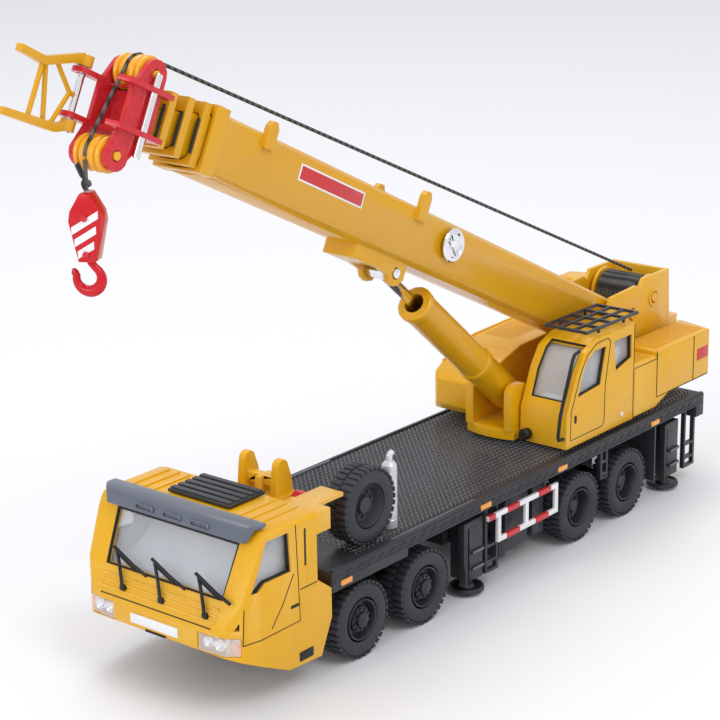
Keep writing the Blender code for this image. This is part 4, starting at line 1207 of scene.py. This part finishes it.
@dataclass
class Boom:
    """The telescopic boom with its head, rollers, jib and lift cylinder."""

    body: str = "boom"

    def build(self) -> None:
        """Build every piece of the boom."""
        base = Bench.smoothed("boom_base", 0.45, 3)
        Bench.dress(base, "boom_base_box", BOOM_YELLOW, self.body, "boom_base")
        for number in range(2, 6):
            node = f"boom_section_{number}"
            Bench.dress(Bench.smoothed(node, 0.3, 2), node + "_box", BOOM_YELLOW, f"section_{number}", node)
        Bench.dress(Bench.smoothed("boom_head", 0.35, 3), "boom_head_casting", RED, "section_5", "boom_head")
        Bench.dress(Bench.smoothed("jib", 0.3, 2), "jib_lattice", BOOM_YELLOW, "jib", "jib")
        self.labels()
        self.slots()
        self.reel()
        self.rollers()
        self.cylinder()
        LOG.info("boom")

    def labels(self) -> None:
        """A blank red label with a pale border on each side."""
        for name, side in SIDES:
            border = Bench.block((134.2, 160.2), span(side, 7.1, 7.3), (-4.85, -0.75), BOOM, 0.05)
            Bench.dress(border, "boom_label_border_" + name, WHITE, self.body)
            panel = Bench.block((134.7, 159.7), span(side, 7.2, 7.36), (-4.4, -1.2), BOOM, 0.05)
            Bench.dress(panel, "boom_label_" + name, LABEL_RED, self.body)

    def slots(self) -> None:
        """Painted shade: dark blocks on the sides of the sections, where the gaps behind each collar fall in
        shadow.
        """
        for number, (x, half) in enumerate(((196.6, 6.15), (201.2, 5.05), (206.0, 4.0)), 2):
            # Each dark block paints the shadow in the gap behind a collar.
            marks = [Bench.block((x - 0.25, x + 0.45), span(side, half - 0.3, half + 0.08), (-9.4, -1.2),
                                 BOOM, 0.05) for side in (1, -1)]
            Bench.dress(Bench.joined(marks), f"section_shadow_gaps_{number}", DARK, f"section_{number}")

    def reel(self) -> None:
        """The bright hose reel on the left side."""
        profile = [(7.6, 0), (7.6, 3.6), (7.9, 4.2), (8.2, 4.5), (8.5, 4.5), (8.8, 4.2), (8.9, 3.4),
                   (8.4, 3.0), (8.4, 1.4), (9.2, 1.1), (9.2, 0)]
        disc = Bench.spun(profile, (94.4, 0, -3.6), place=BOOM)
        hoses = []
        for offset in (0.0, 0.9, 1.8):
            hoses.append(Bench.wire([(96.6 + offset, 8.6, -0.9 - offset), (94.6 + offset, 8.8, -3.2),
                                     (91.4, 8.7, -4.4 - offset)], 0.28, BOOM))
        Bench.dress(Bench.joined([disc] + hoses), "hose_reel_disc", CHROME, self.body, "hose_reel")

    def rollers(self) -> None:
        """Rope rollers with rounded lobes, and their chrome pins."""
        lobes: list[Flat] = []
        for left, right in ((-4.1, -2.5), (-2.5, 0.0), (0.0, 2.5), (2.5, 4.1)):
            middle, half = (left + right) / 2, (right - left) / 2
            for i in range(7):
                part = -1.0 + i / 3.0
                swell = 0.9 * math.sqrt(max(0.0, 1.0 - part * part))
                lobes.append((middle + half * part * 0.98, 3.2 + swell))
        profile = [(-5.9, 0), (-5.9, 1.0), (-4.1, 1.0)] + lobes + [(4.1, 1.0), (5.9, 1.0), (5.9, 0)]
        for name, spot in (("upper", UPPER_ROLLER), ("lower", LOWER_ROLLER)):
            roller = Bench.spun(profile, (spot[0], 0, spot[1]), place=BOOM)
            Bench.dress(roller, name + "_rope_roller", ROLLER, name + "_sheave", name + "_roller")
        pin = Bench.spun([(-15.4, 0), (-15.4, 0.7), (-15.2, 0.86), (3.4, 0.86), (3.6, 0.7), (3.6, 0)],
                         (212.8, 6.6, 0), Axis.Z, BOOM, 24)
        far = Bench.spun([(-13.9, 0), (-13.9, 0.7), (-13.7, 0.86), (3.5, 0.86), (3.7, 0.7), (3.7, 0)],
                         (222.4, -6.4, 0), Axis.Z, BOOM, 24)
        Bench.dress(pin, "head_pin", CHROME, "section_5")
        Bench.dress(far, "jib_pin", CHROME, "jib")

    def cylinder(self) -> None:
        """The lift cylinder's barrel and its chrome rod."""
        barrel = Bench.smoothed("lift_barrel", 0.25, 3)
        Bench.dress(barrel, "lift_cylinder", BOOM_YELLOW, "lift_barrel", "lift_barrel")
        rod = Bench.smoothed("lift_rod", 0.15, 2)
        Bench.dress(rod, "lift_piston_rod", CHROME, "lift_rod", "lift_rod")


@dataclass
class LoadLine:
    """The rope over the rollers, the knot, the hook block and the hook."""

    cord_from: float = 0.03
    plate_faces: Pair = (2.32, -2.47)

    def build(self) -> None:
        """Lay the rope and hang the hook."""
        self.ropes()
        self.block()
        LOG.info("load line")

    def strand(self, name: str, node: str, body: str) -> None:
        """A stretch of rope along its CAD solid's route.

        Args:
            name: The piece's name.
            node: The CAD node that holds the route.
            body: The body that it rides on.
        """
        points = self.route(node)
        curve = bpy.data.curves.new(name, "CURVE")
        curve.dimensions = "3D"
        curve.bevel_depth = ROPE_RADIUS * MM
        curve.bevel_resolution = 4
        curve.use_fill_caps = True
        spline = curve.splines.new("POLY")
        spline.points.add(len(points) - 1)
        for spot, point in zip(spline.points, points):
            spot.co = (*point, 1.0)
        thing = bpy.data.objects.new(name, curve)
        bpy.context.scene.collection.objects.link(thing)
        Bench.dress(thing, name, ROPE, body, node)

    @staticmethod
    def route(node: str) -> list[Vector]:
        """The rope's centre points for one stretch.

        Args:
            node: The stretch's CAD node.

        Returns:
            The points, in world metres.
        """
        upper = BOOM @ Vector((UPPER_ROLLER[0], 0.0, UPPER_ROLLER[1])) / MM
        lower = BOOM @ Vector((LOWER_ROLLER[0], 0.0, LOWER_ROLLER[1])) / MM
        high, low = (upper.x, upper.z), (lower.x, lower.z)
        drum = (WINCH[0] + ORIGIN_X, WINCH[1])
        reach = COIL_RADIUS + 0.3 + ROPE_RADIUS
        gap = Vector(high) - Vector(drum)
        square = math.atan2(gap.y, gap.x) + math.asin((reach - ROPE_WRAP) / gap.length) + math.pi / 2
        leave = Vector(arc(drum, reach, math.degrees(square), 0.0, 1)[0])
        touch = arc(high, ROPE_WRAP, math.degrees(square), 0.0, 1)[0]
        start = leave + ROPE_LEAD * (Vector(touch) - leave).normalized()
        drop = Vector(low) - Vector(high)
        fall = math.atan2(drop.y, drop.x) + math.pi / 2
        if node == "drum_rope":
            flat = [tuple(leave.lerp(start, i / 8)) for i in range(9)]
        elif node == "hoist_rope":
            flat = [tuple(Vector(start).lerp(Vector(touch), i / 60)) for i in range(60)]
        elif node == "head_rope":
            flat = arc(high, ROPE_WRAP, math.degrees(square) - 2.0, math.degrees(fall), 24)
            flat += arc(low, ROPE_WRAP, math.degrees(fall), 0.0, 12)
        else:
            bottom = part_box("hook_line")[0][2] / MM
            top = low[1] - 0.9
            flat = [(low[0] + ROPE_WRAP, top - (top - bottom) * i / 6) for i in range(7)]
        return [Vector((x, 0.0, z)) * MM for x, z in flat]

    def ropes(self) -> None:
        """The three stretches of rope and the knot above the block."""
        leaving = self.route("drum_rope")
        stub = Bench.wire([point / MM for point in leaving], ROPE_RADIUS, Matrix.Scale(MM, 4), sides=4)
        stub.name = "rope_off_drum"
        stub.data.materials.append(ROPE.material())
        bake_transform(stub)
        self.strand("rope_along_boom", "hoist_rope", "boom")
        self.strand("rope_over_rollers", "head_rope", "section_5")
        self.strand("rope_to_block", "hook_line", "hanging_block")
        place = self.turned(self.route("hook_line")[-1])
        steps = 16
        loop = [(0.5 * math.sin(t * math.tau / steps), 0.75 * math.cos(t * math.tau / steps),
                 1.6 + 0.5 * math.sin(2 * t * math.tau / steps)) for t in range(steps)]
        tail = [(0.2, 0.3, 1.9), (0.5, -0.9, 3.4), (0.4, -1.9, 5.4), (0.3, -1.5, 5.9), (0.2, -0.8, 4.2),
                (0.1, -0.1, 2.2)]
        ties = [Bench.wire(loop, ROPE_RADIUS, place, closed=True),
                Bench.wire(tail, ROPE_RADIUS * 0.9, place),
                Bench.wire([(0.3, 0.6, 2.2), (0.5, -0.5, 0.9), (0.2, -0.2, 0.2)], ROPE_RADIUS, place)]
        Bench.dress(Bench.joined(ties), "rope_knot", ROPE, "hanging_block")

    @staticmethod
    def turned(spot: Vector) -> Matrix:
        """The hook block's turned frame with its origin at a world point."""
        return Matrix.Translation(spot) @ Matrix.Rotation(BLOCK_TURN, 4, "Z") @ Matrix.Scale(MM, 4)

    def block(self) -> None:
        """The block with its pins and painted stripes, and the tapered hook."""
        Bench.dress(Bench.smoothed("hook_block", 0.2, 3), "block_plates", RED, "hanging_block", "hook_block")
        place = self.turned(Vector((self.route("hook_line")[0].x, 0.0, 0.0)))
        pins = [Bench.spun([(-3.0, 0), (-3.0, 0.7), (3.0, 0.7), (3.0, 0)], (0, 0, z), Axis.X, place, 20)
                for z in (119.6, 111.6)]
        Bench.dress(Bench.joined(pins), "block_pins", RED, "hanging_block")
        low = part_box("hook_block")[0][2] / MM
        stripes = []
        for rise, half in ((1.9, 1.9), (4.9, 2.5), (7.9, 3.1)):
            lean, tall = 0.62 * half, 1.7
            ends = ((-half, low + rise - lean), (half, low + rise + lean))
            outline = [*ends, *((y, z + tall) for y, z in reversed(ends))]
            stripes += [Bench.plate(outline, x, x + 0.15, Axis.X, place, 0.0) for x in self.plate_faces]
        Bench.dress(Bench.joined(stripes), "block_stripes", WHITE, "hanging_block")
        middle = (-0.5, low - 4.1)
        bend = [(0.0, y, z) for y, z in arc(middle, 2.9, 55.0, -190.0, 28)]
        line = [(0.0, 0.0, low + 3.0), (0.0, 0.0, low), (0.0, 0.1, low - 0.5)] + bend
        line += [(0.0, middle[0] - 3.2, middle[1] + 1.3), (0.0, middle[0] - 3.5, middle[1] + 2.1)]
        last = len(line) - 1
        swell = [0.85 + 0.5 * math.sin(math.pi * i / last) ** 2 for i in range(last)] + [0.35]
        hook = Bench.wire(line, 1.0, place, sides=5, swell=swell)
        Bench.dress(hook, "load_hook", RED, "hook", "hook")


@dataclass
class Studio:
    """Pale floor, soft light and the camera."""

    target: Point = (-70.95, -33.13, 48.49)
    azimuth: float = 129.51
    elevation: float = 17.11
    roll: float = -0.84
    distance: float = 580.0
    lens: float = 102.58

    def build(self) -> None:
        """Set the floor, the lights and the camera."""
        self.floor()
        self.lights()
        self.camera()

    def floor(self) -> None:
        """A wide flat pale sheet under the truck."""
        Bench.fresh()
        bpy.ops.mesh.primitive_plane_add(size=6.0, location=(0.0, 0.0, -0.0002))
        sheet = bpy.context.object
        bpy.ops.object.transform_apply(location=True)
        sheet.name = "studio_floor"
        material = bpy.data.materials.new("studio_sheet")
        material.use_nodes = True
        shader = material.node_tree.nodes["Principled BSDF"]
        shader.inputs["Base Color"].default_value = (0.81, 0.81, 0.825, 1.0)
        shader.inputs["Roughness"].default_value = 0.55
        sheet.data.materials.append(material)

    def lights(self) -> None:
        """Three large soft lamps and a pale sky."""
        bpy.context.scene.view_settings.view_transform = "Standard"
        world = bpy.data.worlds.new("studio_sky")
        bpy.context.scene.world = world
        world.use_nodes = True
        sky = world.node_tree.nodes["Background"]
        sky.inputs["Color"].default_value = (0.93, 0.94, 0.98, 1.0)
        sky.inputs["Strength"].default_value = 0.9
        for name, spot, size, power in (
            ("key_lamp", (0.15, 0.75, 0.95), 0.5, 3.4),
            ("top_lamp", (-0.25, -0.35, 1.1), 0.6, 3.2),
            ("front_lamp", (1.1, 0.0, 0.5), 0.5, 3.0),
        ):
            lamp = bpy.data.lights.new(name, "AREA")
            lamp.size = size
            lamp.energy = power
            holder = bpy.data.objects.new(name, lamp)
            holder.location = spot
            aim = Vector((0.0, 0.0, 0.05)) - Vector(spot)
            holder.rotation_euler = aim.to_track_quat("-Z", "Y").to_euler()
            bpy.context.scene.collection.objects.link(holder)

    def camera(self) -> None:
        """The camera, from its viewing angle, distance and roll."""
        azimuth, elevation, roll = (math.radians(a) for a in (self.azimuth, self.elevation, self.roll))
        back = Vector((math.sin(azimuth) * math.cos(elevation), -math.cos(azimuth) * math.cos(elevation),
                       math.sin(elevation)))
        right = Vector((math.cos(azimuth), math.sin(azimuth), 0.0))
        up = back.cross(right)
        turned_right = right * math.cos(roll) + up * math.sin(roll)
        turned_up = up * math.cos(roll) - right * math.sin(roll)
        data = bpy.data.cameras.new("studio_camera")
        data.lens = self.lens
        data.sensor_width = 36.0
        data.clip_start = 0.01
        holder = bpy.data.objects.new("studio_camera", data)
        turn = Matrix((turned_right, turned_up, back)).transposed().to_4x4()
        holder.matrix_world = Matrix.Translation(truck_point(*self.target) + back * self.distance * MM) @ turn
        bpy.context.scene.collection.objects.link(holder)
        bpy.context.scene.camera = holder


def main() -> None:
    """Build the studio and every sub-assembly in order."""
    logging.basicConfig(level=logging.INFO)
    Studio().build()
    LoadLine().build()
    Chassis().build()
    CarrierCab().build()
    Wheels().build()
    Outriggers().build()
    Superstructure().build()
    Winch().build()
    Boom().build()


if __name__ == "__main__":
    main()
